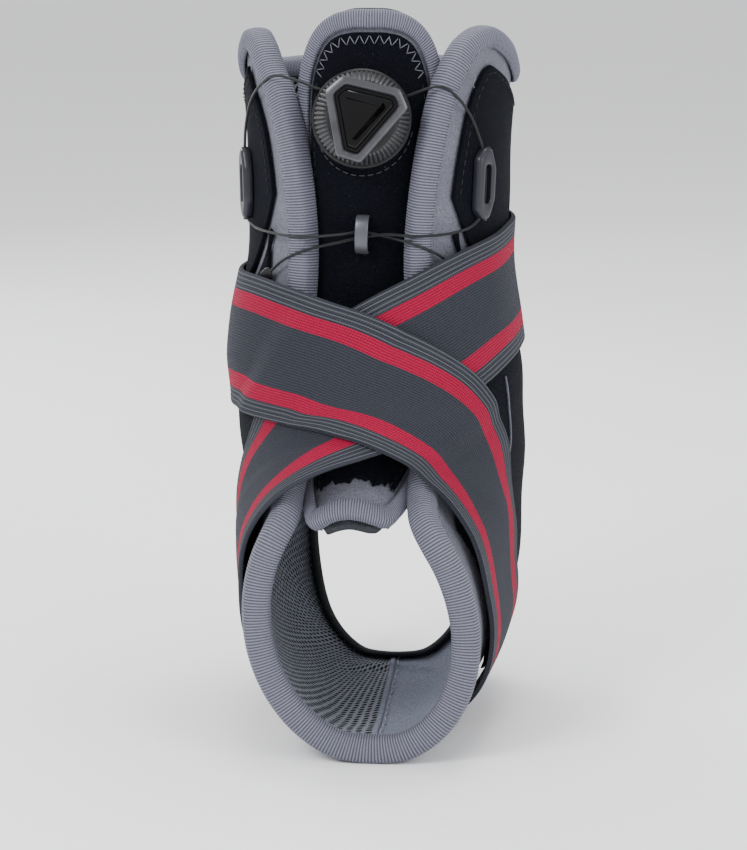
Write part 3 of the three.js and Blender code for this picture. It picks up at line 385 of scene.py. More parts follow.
def outward(thing):
    """Turns the faces outwards if the closed mesh is inside out."""
    mesh = thing.data
    n = len(mesh.vertices)
    co = np.empty(n * 3)
    mesh.vertices.foreach_get("co", co)
    co = co.reshape(-1, 3)
    mesh.calc_loop_triangles()
    tri = np.empty(len(mesh.loop_triangles) * 3, int)
    mesh.loop_triangles.foreach_get("vertices", tri)
    t = co[tri.reshape(-1, 3)]
    if np.sum(t[:, 0] * np.cross(t[:, 1], t[:, 2])) < 0:
        mesh.flip_normals()
    return thing


def slab(name, spots, outer, inner, closed=False, edge_round=0.0, width=None, **kw):
    """A wall over a grid of spots between two heights, with its edges rounded over a few tenths."""
    rows, cols = spots.shape[:2]
    shape = (rows, cols)
    mid = place(spots, np.broadcast_to((np.asarray(outer) + np.asarray(inner)) / 2, shape))
    du = np.linalg.norm(np.diff(mid, axis=1), axis=-1)
    u = np.concatenate([np.zeros((rows, 1)), np.cumsum(du, 1)], 1)
    ring = np.vstack([mid, mid[:1]]) if closed else mid
    dv = np.linalg.norm(np.diff(ring, axis=0), axis=-1)
    v = np.concatenate([np.zeros((1, cols)), np.cumsum(dv, 0)], 0)[:rows]
    v_mid = np.repeat(v[:, cols // 2:cols // 2 + 1], cols, 1)
    outer = np.broadcast_to(np.asarray(outer, float), shape).copy()
    inner = np.broadcast_to(np.asarray(inner, float), shape).copy()
    if edge_round:
        away = np.minimum(u, u[:, -1:] - u)
        if not closed:
            away = np.minimum(away, np.minimum(v, v[-1:] - v))
        x = np.clip(away / edge_round, 0, 1)
        fall = (1 - np.sqrt(1 - (1 - x)**2)) * (outer - inner) * 0.8
        outer = outer - fall
    top, low = place(spots, outer), place(spots, inner)
    verts = np.concatenate([top.reshape(-1, 3), low.reshape(-1, 3)])
    if width:
        u = u / u[:, -1:] * width
    uv = np.stack([u, v_mid], -1).reshape(-1, 2)
    faces = grid_faces(rows, cols, closed)
    n = rows * cols
    faces += [tuple(i + n for i in reversed(f)) for f in faces]
    spans = rows if closed else rows - 1
    for i in range(spans):
        j = (i + 1) % rows
        a, b = i * cols, j * cols
        faces.append((a, a + n, b + n, b))
        a, b = i * cols + cols - 1, j * cols + cols - 1
        faces.append((a, b, b + n, a + n))
    if not closed:
        last = (rows - 1) * cols
        for k in range(cols - 1):
            faces.append((k, k + 1, k + 1 + n, k + n))
            faces.append((last + k, last + k + n, last + k + 1 + n, last + k + 1))
    return outward(new_piece(name, verts, faces, np.concatenate([uv, uv]), **kw))


def grid_faces(rows, cols, closed):
    faces = []
    for i in range(rows if closed else rows - 1):
        a, b = i * cols, ((i + 1) % rows) * cols
        faces += [(a + k, b + k, b + k + 1, a + k + 1) for k in range(cols - 1)]
    return faces


def between(side_a, side_b, across):
    """A grid of spots between two lists of spots, at shares of the way across."""
    t = np.asarray(across)[None, :, None]
    return side_a[:, None] * (1 - t) + side_b[:, None] * t


def shares(count, crowd=3):
    """Shares from 0 to 1, closer together towards both ends."""
    t = np.linspace(0, 1, count)
    for _ in range(crowd):
        t = 0.65 * t + 0.35 * t * t * (3 - 2 * t)
    return t


def swept(name, spots, inward, section, row_length):
    """A closed band with the closed section [distance inwards, height] along a loop of spots."""
    section = np.array(section, float)
    rows, count = len(spots), len(section)
    grid = np.repeat(spots[:, None], count, 1)
    way = np.repeat(inward[:, None], count, 1)
    moved = walk(grid, way, np.broadcast_to(section[:, 0], (rows, count)))
    p = place(moved, np.broadcast_to(section[:, 1], (rows, count)))
    girth = np.concatenate([[0], np.cumsum(np.linalg.norm(np.diff(section, axis=0), axis=-1))])
    along = np.arange(rows) * row_length
    uv = np.stack(np.broadcast_arrays(girth[None, :count], along[:, None]), -1)
    faces = []
    for i in range(rows):
        a, b = i * count, ((i + 1) % rows) * count
        faces += [(a + k, b + k, b + (k + 1) % count, a + (k + 1) % count) for k in range(count)]
    return outward(new_piece(name, p, faces, uv))


# Finishes

class Finish:
    """A node material with one shader. Patterns read millimetres of the cloth map or of the object's place."""

    def __init__(self, name, roughness, metallic=0.0, sheen=0.0, specular=0.5, colour=(0.5, 0.5, 0.5)):
        self.material = bpy.data.materials.new(name)
        self.material.use_nodes = True
        self.nodes, self.links = self.material.node_tree.nodes, self.material.node_tree.links
        self.shader = self.nodes["Principled BSDF"]
        for socket, value in (("Roughness", roughness), ("Metallic", metallic), ("Sheen Weight", sheen),
                              ("Specular IOR Level", specular)):
            self.shader.inputs[socket].default_value = value
        self.shader.inputs["Base Color"].default_value = (*colour, 1)

    def add(self, kind, inputs=(), **props):
        node = self.nodes.new("ShaderNode" + kind)
        for key, value in props.items():
            setattr(node, key, value)
        for key, value in dict(inputs).items():
            if hasattr(value, "links"):
                self.links.new(value, node.inputs[key])
            else:
                node.inputs[key].default_value = value
        return node

    def cloth(self):
        uv = self.add("UVMap", uv_map="cloth")
        return self.add("SeparateXYZ", {0: uv.outputs[0]})

    def place(self):
        """The object's place in millimetres."""
        point = self.add("TexCoord").outputs["Object"]
        return self.add("Mapping", {"Vector": point, "Scale": (1 / MM,) * 3}).outputs[0]

    def math(self, operation, a, b=0.0, c=0.0):
        return self.add("Math", {0: a, 1: b, 2: c}, operation=operation).outputs[0]

    def noise(self, scale, detail=3.0, roughness=0.6):
        inputs = {"Vector": self.place(), "Scale": scale, "Detail": detail, "Roughness": roughness}
        return self.add("TexNoise", inputs).outputs[0]

    def ramp(self, value, stops):
        node = self.add("ValToRGB", {0: value})
        ramp = node.color_ramp
        while len(ramp.elements) < len(stops):
            ramp.elements.new(0.5)
        for element, (at, colour) in zip(ramp.elements, stops):
            element.position, element.color = at, (*colour, 1)
        return node.outputs[0]

    def mix(self, share, a, b):
        node = self.add("Mix", data_type="RGBA", blend_type="MIX")
        for key, value in ((0, share), (6, a), (7, b)):
            if hasattr(value, "links"):
                self.links.new(value, node.inputs[key])
            elif key == 0:
                node.inputs[key].default_value = value
            else:
                node.inputs[key].default_value = (*value, 1)
        return node.outputs[2]

    def colour(self, value):
        self.links.new(value, self.shader.inputs["Base Color"])

    def roughen(self, value):
        self.links.new(value, self.shader.inputs["Roughness"])

    def bump(self, height, distance):
        node = self.add("Bump", {"Height": height, "Distance": distance * MM, "Strength": 1.0})
        self.links.new(node.outputs[0], self.shader.inputs["Normal"])


def sheen_of(finish, roughness, tint):
    finish.shader.inputs["Sheen Roughness"].default_value = roughness
    finish.shader.inputs["Sheen Tint"].default_value = (*tint, 1)


def heather_finish(name, dark, light, grain=2.2, bump=0.25):
    """Knit cloth of two mixed yarns."""
    f = Finish(name, 0.92, sheen=0.06, specular=0.2)
    sheen_of(f, 0.5, (0.8, 0.82, 0.9))
    yarn = f.noise(grain, 4.0, 0.75)
    patch = f.noise(0.12, 2.0)
    f.colour(f.mix(f.math("MULTIPLY", patch, 0.35), f.ramp(yarn, [(0.3, dark), (0.68, light)]), dark))
    f.bump(yarn, bump)
    return f.material


def rib_finish(name, dark, light):
    """Ribbed elastic: the ribs run across the band, one for each unit of the map along it. The colour carries
    painted shade in the grooves between ribs and a painted highlight on their crests.
    """
    f = Finish(name, 0.72, sheen=0.08, specular=0.3)
    sheen_of(f, 0.4, (0.85, 0.87, 0.95))
    cloth = f.cloth()
    wave = f.math("COSINE", f.math("MULTIPLY", cloth.outputs[1], 2 * math.pi))
    rib = f.math("MULTIPLY_ADD", wave, -0.5, 0.5)
    yarn = f.noise(3.0, 3.0, 0.7)
    # Painted shade and highlight: the rib wave darkens the colour in the grooves and lightens it on the crests.
    tone = f.math("ADD", f.math("MULTIPLY", rib, 0.55), f.math("MULTIPLY", yarn, 0.6))
    f.colour(f.ramp(tone, [(0.2, dark), (0.9, light)]))
    f.bump(f.math("ADD", rib, f.math("MULTIPLY", yarn, 0.5)), 0.12)
    return f.material


def velour_finish(name):
    """Black loop fabric: short curled pile, with painted sheen as light bluish specks where the loops stand
    highest.
    """
    f = Finish(name, 0.97, sheen=0.03, specular=0.1)
    sheen_of(f, 0.35, (0.55, 0.6, 0.8))
    pile = f.noise(1.9, 5.0, 0.85)
    loops = f.add("TexVoronoi", {"Vector": f.place(), "Scale": 1.5, "Randomness": 1.0}, feature="F1").outputs[0]
    height = f.math("SUBTRACT", pile, f.math("MULTIPLY", loops, 0.45))
    # Painted sheen: the highest loops are coloured light bluish, like the sheen's tint.
    f.colour(f.ramp(height, [
        (0.15, (0.0015, 0.002, 0.0042)), (0.5, (0.0038, 0.0046, 0.0085)), (0.6, (0.085, 0.092, 0.125))]))
    f.bump(height, 0.5)
    return f.material


def strap_finish(name):
    """Charcoal elastic with two red stripes; fine ribs run along the strap, lighter ones near its edges."""
    f = Finish(name, 0.86, sheen=0.02, specular=0.15)
    sheen_of(f, 0.4, (0.8, 0.82, 0.9))
    cloth = f.cloth()
    across, along = cloth.outputs[0], cloth.outputs[1]
    off = f.math("ABSOLUTE", f.math("SUBTRACT", across, STRAP_WIDTH / 2))

    def wave(value, pitch):
        return f.math("MULTIPLY_ADD", f.math("SINE", f.math("MULTIPLY", value, 2 * math.pi / pitch)), 0.5, 0.5)
    ribs, rows, edge_lines = wave(across, 0.8), wave(along, 0.7), wave(off, 1.35)
    yarn = f.noise(3.2, 3.0, 0.7)
    red = f.math("MULTIPLY", f.math("GREATER_THAN", off, 9.4), f.math("LESS_THAN", off, 14.4))
    at_edge = f.math("GREATER_THAN", off, 15.0)
    light = f.math("MULTIPLY", f.math("MULTIPLY", at_edge, f.math("GREATER_THAN", edge_lines, 0.86)), 0.5)
    tone = f.math("ADD", f.math("MULTIPLY", ribs, 0.3), f.math("MULTIPLY", yarn, 0.65))
    tone = f.math("ADD", tone, f.math("MULTIPLY", rows, 0.16))
    gray = f.ramp(tone, [(0.2, (0.0085, 0.0095, 0.0135)), (0.95, (0.046, 0.049, 0.064))])
    lined = f.mix(light, gray, (0.14, 0.145, 0.16))
    bright = f.ramp(tone, [(0.2, (0.11, 0.0015, 0.012)), (0.95, (0.44, 0.009, 0.055))])
    f.colour(f.mix(red, lined, bright))
    f.bump(f.math("ADD", f.math("ADD", ribs, f.math("MULTIPLY", rows, 0.5)), f.math("MULTIPLY", yarn, 0.6)), 0.14)
    return f.material


def spacer_finish(name):
    """Spacer mesh with staggered rows of small open holes; the holes are painted near black as the shade inside
    them.
    """
    f = Finish(name, 0.9, sheen=0.03, specular=0.2)
    cloth = f.cloth()
    u = f.math("DIVIDE", cloth.outputs[0], 2.6)
    v = f.math("DIVIDE", cloth.outputs[1], 2.3)
    skewed = f.add("CombineXYZ", {0: f.math("MULTIPLY_ADD", v, 0.5, u), 1: v}).outputs[0]
    cells = f.add("TexVoronoi", {"Vector": skewed, "Scale": 1.0, "Randomness": 0.12},
                  voronoi_dimensions="2D", feature="F1")
    yarn = f.noise(2.8, 3.0, 0.75)
    rim = f.math("SUBTRACT", cells.outputs[0], f.math("MULTIPLY", yarn, 0.12))
    hole_shade_mask = f.add("MapRange", {0: rim, 1: 0.2, 2: 0.34, 3: 0.0, 4: 1.0},
                  interpolation_type="SMOOTHSTEP").outputs[0]
    knit = f.ramp(yarn, [(0.3, (0.10, 0.108, 0.132)), (0.7, (0.34, 0.36, 0.42))])
    # Painted shade: where the mask is low, the hole is coloured near black for the shade inside it.
    f.colour(f.mix(hole_shade_mask, (0.002, 0.0024, 0.003), knit))
    f.bump(f.math("ADD", f.math("MULTIPLY", hole_shade_mask, 1.2), f.math("MULTIPLY", yarn, 0.5)), 0.5)
    return f.material


def plain_finish(name, colour, roughness, metallic=0.0, grain=0.06, scale=1.2, bump=0.02, specular=0.5):
    """Moulded plastic or painted metal with a fine grain and slight wear in its gloss."""
    f = Finish(name, roughness, metallic=metallic, specular=specular, colour=colour)
    fine = f.noise(scale * 4, 3.0, 0.6)
    broad = f.noise(scale * 0.12, 2.0, 0.5)
    dark = tuple(c * (1 - 2 * grain) for c in colour)
    light = tuple(min(c * (1 + 3 * grain) + 0.001, 1) for c in colour)
    blend = f.math("MULTIPLY_ADD", broad, 0.5, f.math("MULTIPLY", fine, 0.5))
    f.colour(f.ramp(blend, [(0.35, dark), (0.65, light)]))
    f.roughen(f.math("MULTIPLY_ADD", broad, 0.25 * roughness, 0.87 * roughness))
    f.bump(fine, bump)
    return f.material


def lace_finish(name):
    """Dark coated wire laid of thin twisted strands."""
    f = Finish(name, 0.4, specular=0.3, colour=(0.01, 0.01, 0.012))
    cloth = f.cloth()
    round_ = f.math("MULTIPLY", cloth.outputs[0], 4 * math.pi)
    turn = f.math("ADD", round_, f.math("MULTIPLY", cloth.outputs[1], 5.2))
    strand = f.math("ABSOLUTE", f.math("SINE", turn))
    f.colour(f.ramp(strand, [(0.0, (0.002, 0.002, 0.0025)), (1.0, (0.02, 0.02, 0.024))]))
    f.bump(strand, 0.1)
    return f.material


FABRIC = heather_finish("shell_cloth", (0.07, 0.071, 0.092), (0.235, 0.236, 0.29))
BRUSHED = heather_finish("brushed_lining_cloth", (0.11, 0.125, 0.165), (0.31, 0.335, 0.42), 1.5, 0.4)
DARK_CLOTH = heather_finish("dark_cloth", (0.006, 0.0065, 0.0085), (0.035, 0.037, 0.044), 2.2, 0.3)
PAD_CLOTH = heather_finish("pad_cloth", (0.014, 0.016, 0.02), (0.055, 0.06, 0.07), 2.0, 0.3)
SPACER = spacer_finish("spacer_mesh_cloth")
RIBBED = rib_finish("ribbed_elastic", (0.024, 0.025, 0.035), (0.19, 0.192, 0.25))
VELOUR = velour_finish("black_loop_cloth")
STRAP = strap_finish("striped_elastic")
BLACK_PLASTIC = plain_finish("black_plastic", (0.008, 0.008, 0.009), 0.42, specular=0.3)
GRAY_PLASTIC = plain_finish("gray_plastic", (0.017, 0.018, 0.025), 0.36, metallic=0.2, specular=0.4)
GLOSS_BLACK = plain_finish("glossy_black", (0.002, 0.002, 0.0025), 0.05, bump=0.0, specular=0.22)
GUN_METAL = plain_finish("gun_metal", (0.085, 0.085, 0.094), 0.34, metallic=0.85, grain=0.08)
# Painted highlight: the fins are of the dial's black plastic, but they are coloured lighter than the core so that
# they read as lit.
FIN_PLASTIC_PAINTED_LIT = plain_finish("ribbed_knob_plastic", (0.035, 0.036, 0.04), 0.3, metallic=0.35, specular=0.5)
KEEPER_RIBBON = plain_finish("keeper_ribbon", (0.075, 0.077, 0.09), 0.34, metallic=0.35, specular=0.5)
LACE = lace_finish("twisted_lace")
THREAD = heather_finish("light_thread", (0.08, 0.08, 0.10), (0.24, 0.24, 0.285), 3.0, 0.1)
DARK_THREAD = heather_finish("dark_thread", (0.006, 0.006, 0.008), (0.03, 0.03, 0.036), 3.0, 0.1)
PALE_THREAD = heather_finish("pale_thread", (0.22, 0.22, 0.25), (0.5, 0.5, 0.56), 3.0, 0.1)
GRAY_THREAD = heather_finish("gray_thread", (0.03, 0.03, 0.035), (0.09, 0.09, 0.10), 3.0, 0.1)


def wear(thing, material):
    thing.data.materials.clear()
    thing.data.materials.append(material)
    return thing


# What repeats: stitches, fins and ribs

def group(name, sockets):
    tree = bpy.data.node_groups.new(name, "GeometryNodeTree")
    for label, kind in sockets:
        tree.interface.new_socket(label, in_out="INPUT", socket_type=kind)
    tree.interface.new_socket("Geometry", in_out="OUTPUT", socket_type="NodeSocketGeometry")
    return tree, tree.nodes.new("NodeGroupInput"), tree.nodes.new("NodeGroupOutput")


def node(tree, kind, inputs=(), **props):
    made = tree.nodes.new(kind)
    for key, value in props.items():
        setattr(made, key, value)
    for key, value in dict(inputs).items():
        if hasattr(value, "links"):
            tree.links.new(value, made.inputs[key])
        else:
            made.inputs[key].default_value = value
    return made


def tree_math(tree, operation, *values):
    return node(tree, "ShaderNodeMath", dict(enumerate(values)), operation=operation).outputs[0]


def finished(tree, given, made, geometry):
    """Ends a tree: its instances are made real and take its material."""
    real = node(tree, "GeometryNodeRealizeInstances", {0: geometry})
    coloured = node(tree, "GeometryNodeSetMaterial",
                    {"Geometry": real.outputs[0], "Material": given.outputs["Material"]})
    tree.links.new(coloured.outputs[0], made.inputs[0])
    return tree


def repeated(tree, given, made, points, rotation):
    """Ends a tree with turned copies of its template on points."""
    shape = node(tree, "GeometryNodeObjectInfo", {"Object": given.outputs["Template"]})
    copies = node(tree, "GeometryNodeInstanceOnPoints",
                  {"Points": points, "Instance": shape.outputs["Geometry"], "Rotation": rotation})
    return finished(tree, given, made, copies.outputs[0])


def path_tree():
    """Copies of a template at an even pitch along paths, standing on each path's outward direction."""
    tree, given, made = group("repeat_on_path", [
        ("Geometry", "NodeSocketGeometry"), ("Template", "NodeSocketObject"), ("Pitch", "NodeSocketFloat"),
        ("Lean", "NodeSocketFloat"), ("Material", "NodeSocketMaterial"),
    ])
    curve = node(tree, "GeometryNodeMeshToCurve", {0: given.outputs["Geometry"]})
    spaced = node(tree, "GeometryNodeResampleCurve",
                  {"Curve": curve.outputs[0], "Length": given.outputs["Pitch"]}, mode="LENGTH")
    tangent = node(tree, "GeometryNodeInputTangent")
    out = node(tree, "GeometryNodeInputNamedAttribute", {"Name": "out"}, data_type="FLOAT_VECTOR")
    first = node(tree, "FunctionNodeAlignRotationToVector", {"Vector": tangent.outputs[0]}, axis="X")
    turned = node(tree, "FunctionNodeAlignRotationToVector",
                  {"Rotation": first.outputs[0], "Vector": out.outputs[0]}, axis="Z", pivot_axis="X")
    odd = tree_math(tree, "MODULO", node(tree, "GeometryNodeInputIndex").outputs[0], 2.0)
    lean = tree_math(tree, "MULTIPLY", tree_math(tree, "MULTIPLY_ADD", odd, 2.0, -1.0), given.outputs["Lean"])
    euler = node(tree, "ShaderNodeCombineXYZ", {2: lean})
    leaned = node(tree, "FunctionNodeRotateRotation",
                  {"Rotation": turned.outputs[0], "Rotate By": euler.outputs[0]}, rotation_space="LOCAL")
    return repeated(tree, given, made, spaced.outputs[0], leaned.outputs[0])


def round_tree():
    """Copies of a template evenly turned about the Z axis."""
    tree, given, made = group("repeat_round_axis", [
        ("Geometry", "NodeSocketGeometry"), ("Template", "NodeSocketObject"), ("Count", "NodeSocketInt"),
        ("Material", "NodeSocketMaterial"),
    ])
    points = node(tree, "GeometryNodePoints", {"Count": given.outputs["Count"]})
    step = tree_math(tree, "DIVIDE", 2 * math.pi, given.outputs["Count"])
    turn = tree_math(tree, "MULTIPLY", node(tree, "GeometryNodeInputIndex").outputs[0], step)
    euler = node(tree, "ShaderNodeCombineXYZ", {2: turn})
    return repeated(tree, given, made, points.outputs[0], euler.outputs[0])


def rib_tree():
    """Raises ribs across a band, one for each unit of its rib attribute."""
    tree, given, made = group("ribs_across_band", [
        ("Geometry", "NodeSocketGeometry"), ("Rib Height", "NodeSocketFloat"), ("Material", "NodeSocketMaterial"),
    ])
    along = node(tree, "GeometryNodeInputNamedAttribute", {"Name": "rib"}, data_type="FLOAT")
    phase = tree_math(tree, "MULTIPLY", along.outputs[0], math.pi)
    ridge = tree_math(tree, "ABSOLUTE", tree_math(tree, "SINE", phase))
    height = tree_math(tree, "MULTIPLY", ridge, given.outputs["Rib Height"])
    normal = node(tree, "GeometryNodeInputNormal")
    shift = node(tree, "ShaderNodeVectorMath", {0: normal.outputs[0], "Scale": height}, operation="SCALE")
    raised = node(tree, "GeometryNodeSetPosition",
                  {"Geometry": given.outputs["Geometry"], "Offset": shift.outputs[0]})
    return finished(tree, given, made, raised.outputs[0])


PATH_TREE, ROUND_TREE, RIB_TREE = path_tree(), round_tree(), rib_tree()


def grow(carrier, tree, **values):
    """Runs a tree on a carrier and leaves its result as the carrier's plain mesh."""
    modifier = carrier.modifiers.new("grow", "NODES")
    modifier.node_group = tree
    for item in tree.interface.items_tree:
        label = item.name.replace(" ", "_").lower()
        if item.in_out == "INPUT" and label in values:
            modifier[item.identifier] = values[label]
    mesh = bpy.data.meshes.new_from_object(carrier.evaluated_get(bpy.context.evaluated_depsgraph_get()))
    carrier.modifiers.clear()
    old = carrier.data
    carrier.data = mesh
    mesh.name = carrier.name
    bpy.data.meshes.remove(old)
    return carrier


def template(name, verts, faces):
    mesh = bpy.data.meshes.new(name)
    mesh.from_pydata((np.asarray(verts, float) * MM).tolist(), [], [tuple(f) for f in faces])
    return add_object(name, mesh)


def stitch_template(name, length, width, height, rings=5, sides=6):
    """A short thread: a stretched bead along X."""
    verts, faces = [(-length / 2, 0, 0)], []
    for i in range(1, rings):
        t = math.pi * i / rings
        for k in range(sides):
            a = 2 * math.pi * k / sides
            x, bend, swell = -math.cos(t) * length / 2, height * 0.5 * math.sin(t), math.sin(t)**0.6
            verts.append((x, width / 2 * swell * math.cos(a), bend + height / 2 * swell * math.sin(a)))
    verts.append((length / 2, 0, 0))
    for k in range(sides):
        n = (k + 1) % sides
        faces.append((0, 1 + n, 1 + k))
        for i in range(rings - 2):
            a, b = 1 + i * sides, 1 + (i + 1) * sides
            faces.append((a + k, a + n, b + n, b + k))
        a = 1 + (rings - 2) * sides
        faces.append((a + k, a + n, len(verts) - 1))
    return template(name, verts, faces)


def along_paths(name, paths, shape, pitch, material, lean=0.0):
    """Copies of a template along paths; a path is (points in mm, outward directions)."""
    verts, outs, edges = [], [], []
    for points, out in paths:
        start = len(verts)
        verts += list(points)
        outs += list(out)
        edges += [(start + i, start + i + 1) for i in range(len(points) - 1)]
    mesh = bpy.data.meshes.new(name)
    mesh.from_pydata((np.array(verts) * MM).tolist(), edges, [])
    mesh.attributes.new("out", "FLOAT_VECTOR", "POINT").data.foreach_set("vector", np.array(outs, float).ravel())
    carrier = add_object(name, mesh)
    grow(carrier, PATH_TREE, template=shape, pitch=pitch * MM, lean=math.radians(lean), material=material)
    PIECES.append((shade(carrier), "brace"))
    return carrier


def stitch_path(spots, height):
    """A path over the form at a height, as points and outward directions."""
    spots = np.asarray(spots, float)
    return place(spots, np.full(len(spots), height)), slopes(spots[:, 0], spots[:, 1])[2]


def ribbed(thing, rows, count, height, material):
    """Raises ribs on a band whose points come in rows."""
    rib = np.repeat(np.arange(rows) / ROWS_IN_RIB, count)
    thing.data.attributes.new("rib", "FLOAT", "POINT").data.foreach_set("value", rib)
    return shade(grow(thing, RIB_TREE, rib_height=height * MM, material=material))


STITCH = stitch_template("stitch_template", 1.9, 0.34, 0.32)
ZIGZAG = stitch_template("zigzag_template", 3.0, 0.26, 0.24)
LONG_STITCH = stitch_template("long_stitch_template", 4.6, 0.42, 0.42)


# Shell, lining and bindings

OUTER, HEEL = loop_points(EDGE), loop_points(HEEL_EDGE)
COVERED = {}


def loop_spots(points, count):
    t, _ = even(points, count + 1, True)
    return curve_at(points, t[:-1], True)


def cover(thing, *nodes, slot=None):
    """The piece stands for these nodes of the part and takes a finish slot."""
    COVERED[thing] = (nodes, slot)
    return thing


def folded(leg, top, low, inside, bottom, crown=0.5, fold=2.0):
    """Section of a binding rolled round an edge, as [distance inwards, height]."""
    middle, half = (top + bottom) / 2, (top - bottom) / 2
    points = [(leg, low + 0.1), (leg + 0.05, low + 0.5)]
    for s in np.linspace(0.06, 1, 6):
        points.append((leg * (1 - s), top + crown * math.sin(math.pi * min(0.08 + 0.72 * s, 1)) - 0.1))
    for a in np.linspace(0, math.pi, 8)[1:-1]:
        lift = crown * 0.55 * max(math.cos(a), 0)
        points.append((-fold * math.sin(a)**0.8, middle + half * math.cos(a) + lift))
    points += [(0, bottom - 0.1), (leg * 0.5, bottom - 0.25), (leg * 0.9, bottom), (leg, inside - 0.1)]
    return points + [(leg * 0.9, inside), (leg / 2, inside), (-0.4, inside), (-0.4, low), (leg / 2, low)]


def make_shell():
    t, _ = even(OUTER, 301, True)
    outer, heel = curve_at(OUTER, t[:-1], True), curve_at(HEEL, t[:-1], True)
    grid = between(heel, outer, shares(44, 1))
    return cover(wear(slab("shell", grid, SHELL_OUT, SHELL_IN, closed=True), FABRIC), "shell", slot="shell_fabric")


def make_lining(name, side, material, slot):
    t, _ = even(OUTER, 170, True, *((0, 0.5) if side > 0 else (0.5, 1)))
    edges = [curve_at(HEEL, t, True), curve_at(OUTER, t, True)]
    for spots in edges:
        for k in (0, len(t) - 1):
            spots[[k]] = walk(spots[[k]], np.array([[side, 0.0, 0.0]]), np.array([0.3]))
    grid = between(edges[0], edges[1], shares(44, 1))
    return cover(wear(slab(name, grid, LINING_OUT, 0.0), material), name, slot=slot)


def make_binding(name, points, others, leg, levels, pitch, material, slot, rib, crown, fold=1.7):
    """A ribbed band rolled round an edge; others gives the spots that its inward side faces."""
    rough = loop_spots(points, 400)
    p = form(rough[:, 0], rough[:, 1])
    length = np.linalg.norm(p - np.roll(p, 1, 0), axis=1).sum()
    rows = ROWS_IN_RIB * round(length / pitch)
    spots = loop_spots(points, rows)
    inward = towards(spots, sideways(spots, True), others(rows, spots))
    section = folded(leg, *levels, crown=crown, fold=fold)
    thing = swept(name, spots, inward, section, 1 / ROWS_IN_RIB)
    ribbed(thing, rows, len(section), rib, material)
    return cover(wear(thing, material), name, slot=slot)


SHELL = make_shell()
LINING_LEFT = make_lining("lining_left", -1, SPACER, "mesh_lining")
LINING_RIGHT = make_lining("lining_right", 1, BRUSHED, "brushed_lining")
OUTSIDE_LEVELS = (BINDING_OUT, BINDING_IN, BINDING_INSIDE, BINDING_BOTTOM)
make_binding(
    "edge_binding", OUTER, lambda n, s: curve_at(HEEL, even(OUTER, n + 1, True)[0][:-1], True),
    BINDING_LEG - ROLLED_BACK, OUTSIDE_LEVELS, RIB_PITCH, RIBBED, "ribbed_binding", rib=0.15, crown=1.1)
make_binding(
    "heel_binding", HEEL, lambda n, s: curve_at(OUTER, even(HEEL, n + 1, True)[0][:-1], True),
    HEEL_BINDING_LEG, OUTSIDE_LEVELS, HEEL_RIB_PITCH, DARK_CLOTH, "thin_binding", rib=0.06, crown=0.3, fold=1.5)


# Loop-fabric panels

def inset_loop(distance, steps):
    """The whole outer edge moved inwards, with the shares and spots it starts from."""
    t, _ = even(OUTER, steps, True)
    t = t[:-1]
    spots = curve_at(OUTER, t, True)
    inward = towards(spots, sideways(spots, True), curve_at(HEEL, t, True))
    return t, walk(spots, inward, np.full(len(spots), distance)), spots


def inset_edge(distance, picks):
    """The outer edge moved inwards, at the spots that picks chooses."""
    t, line, spots = inset_loop(distance, 701)
    return line[picks(spots, t)]


def make_upper_panel():
    top = inset_edge(BINDING_LEG + PANEL_MARGIN, lambda s, t: s[:, 0] < PANEL_SPLIT[0][0])
    low = side_points(PANEL_SPLIT, 1, True) + side_points(PANEL_SPLIT, -1, True)[::-1][1:]
    grid = between(side_spots(top, 240), side_spots(low, 240), shares(60))
    thing = slab("upper_panel", grid, PANEL_OUT + PILE_RISE, PANEL_IN, edge_round=1.3)
    return cover(wear(thing, VELOUR), "upper_panel", slot="loop_fabric")


def make_lower_panel(name, side):
    def picks(s, t):
        half = t < 0.5 if side > 0 else t > 0.5
        above_sole = np.abs(s[:, 1] - 180) > SOLE_ANGLE
        return half & above_sole & (s[:, 0] > LOWER_PANEL_TOP) & (s[:, 0] < LOWER_PANEL_END)
    front = inset_edge(BINDING_LEG + LOWER_MARGIN + LOWER_PANEL_BACK, picks)
    front = side_spots(front[::-1] if side > 0 else front, 170)
    rear = side_spots(side_points(LOWER_REAR, side, True), 170)
    thing = slab(name, between(front, rear, shares(64)), PANEL_OUT + PILE_RISE, PANEL_IN, edge_round=1.3)
    return cover(wear(thing, VELOUR), name, slot="loop_fabric")


UPPER_PANEL = make_upper_panel()
LOWER_LEFT = make_lower_panel("lower_panel_left", -1)
LOWER_RIGHT = make_lower_panel("lower_panel_right", 1)


# Tongue

def tongue_middle(spots):
    """Spots on the tongue's middle line beside other spots."""
    return np.stack([np.clip(spots[:, 0], 1, LAST - 1), np.zeros(len(spots))], -1)


def tongue_sides(inset, steps=170, end=None):
    """The tongue's right and left edge, moved inwards and cut off at an end station."""
    right = side_spots(side_points(TONGUE_EDGE, 1), steps)
    left = side_spots(side_points(TONGUE_EDGE, -1), steps)
    spots = np.vstack([right, left[::-1]])
    inward = towards(spots, sideways(spots, True), tongue_middle(spots))
    moved = walk(spots, inward, np.full(len(spots), inset))
    right, left = moved[:steps], moved[steps:][::-1]
    if end is None:
        return right, left
    cut = [side[side[:, 0] < end] for side in (right, left)]
    return tuple(side_spots(np.vstack([side, [[end, side[-1, 1]]]]), steps) for side in cut)


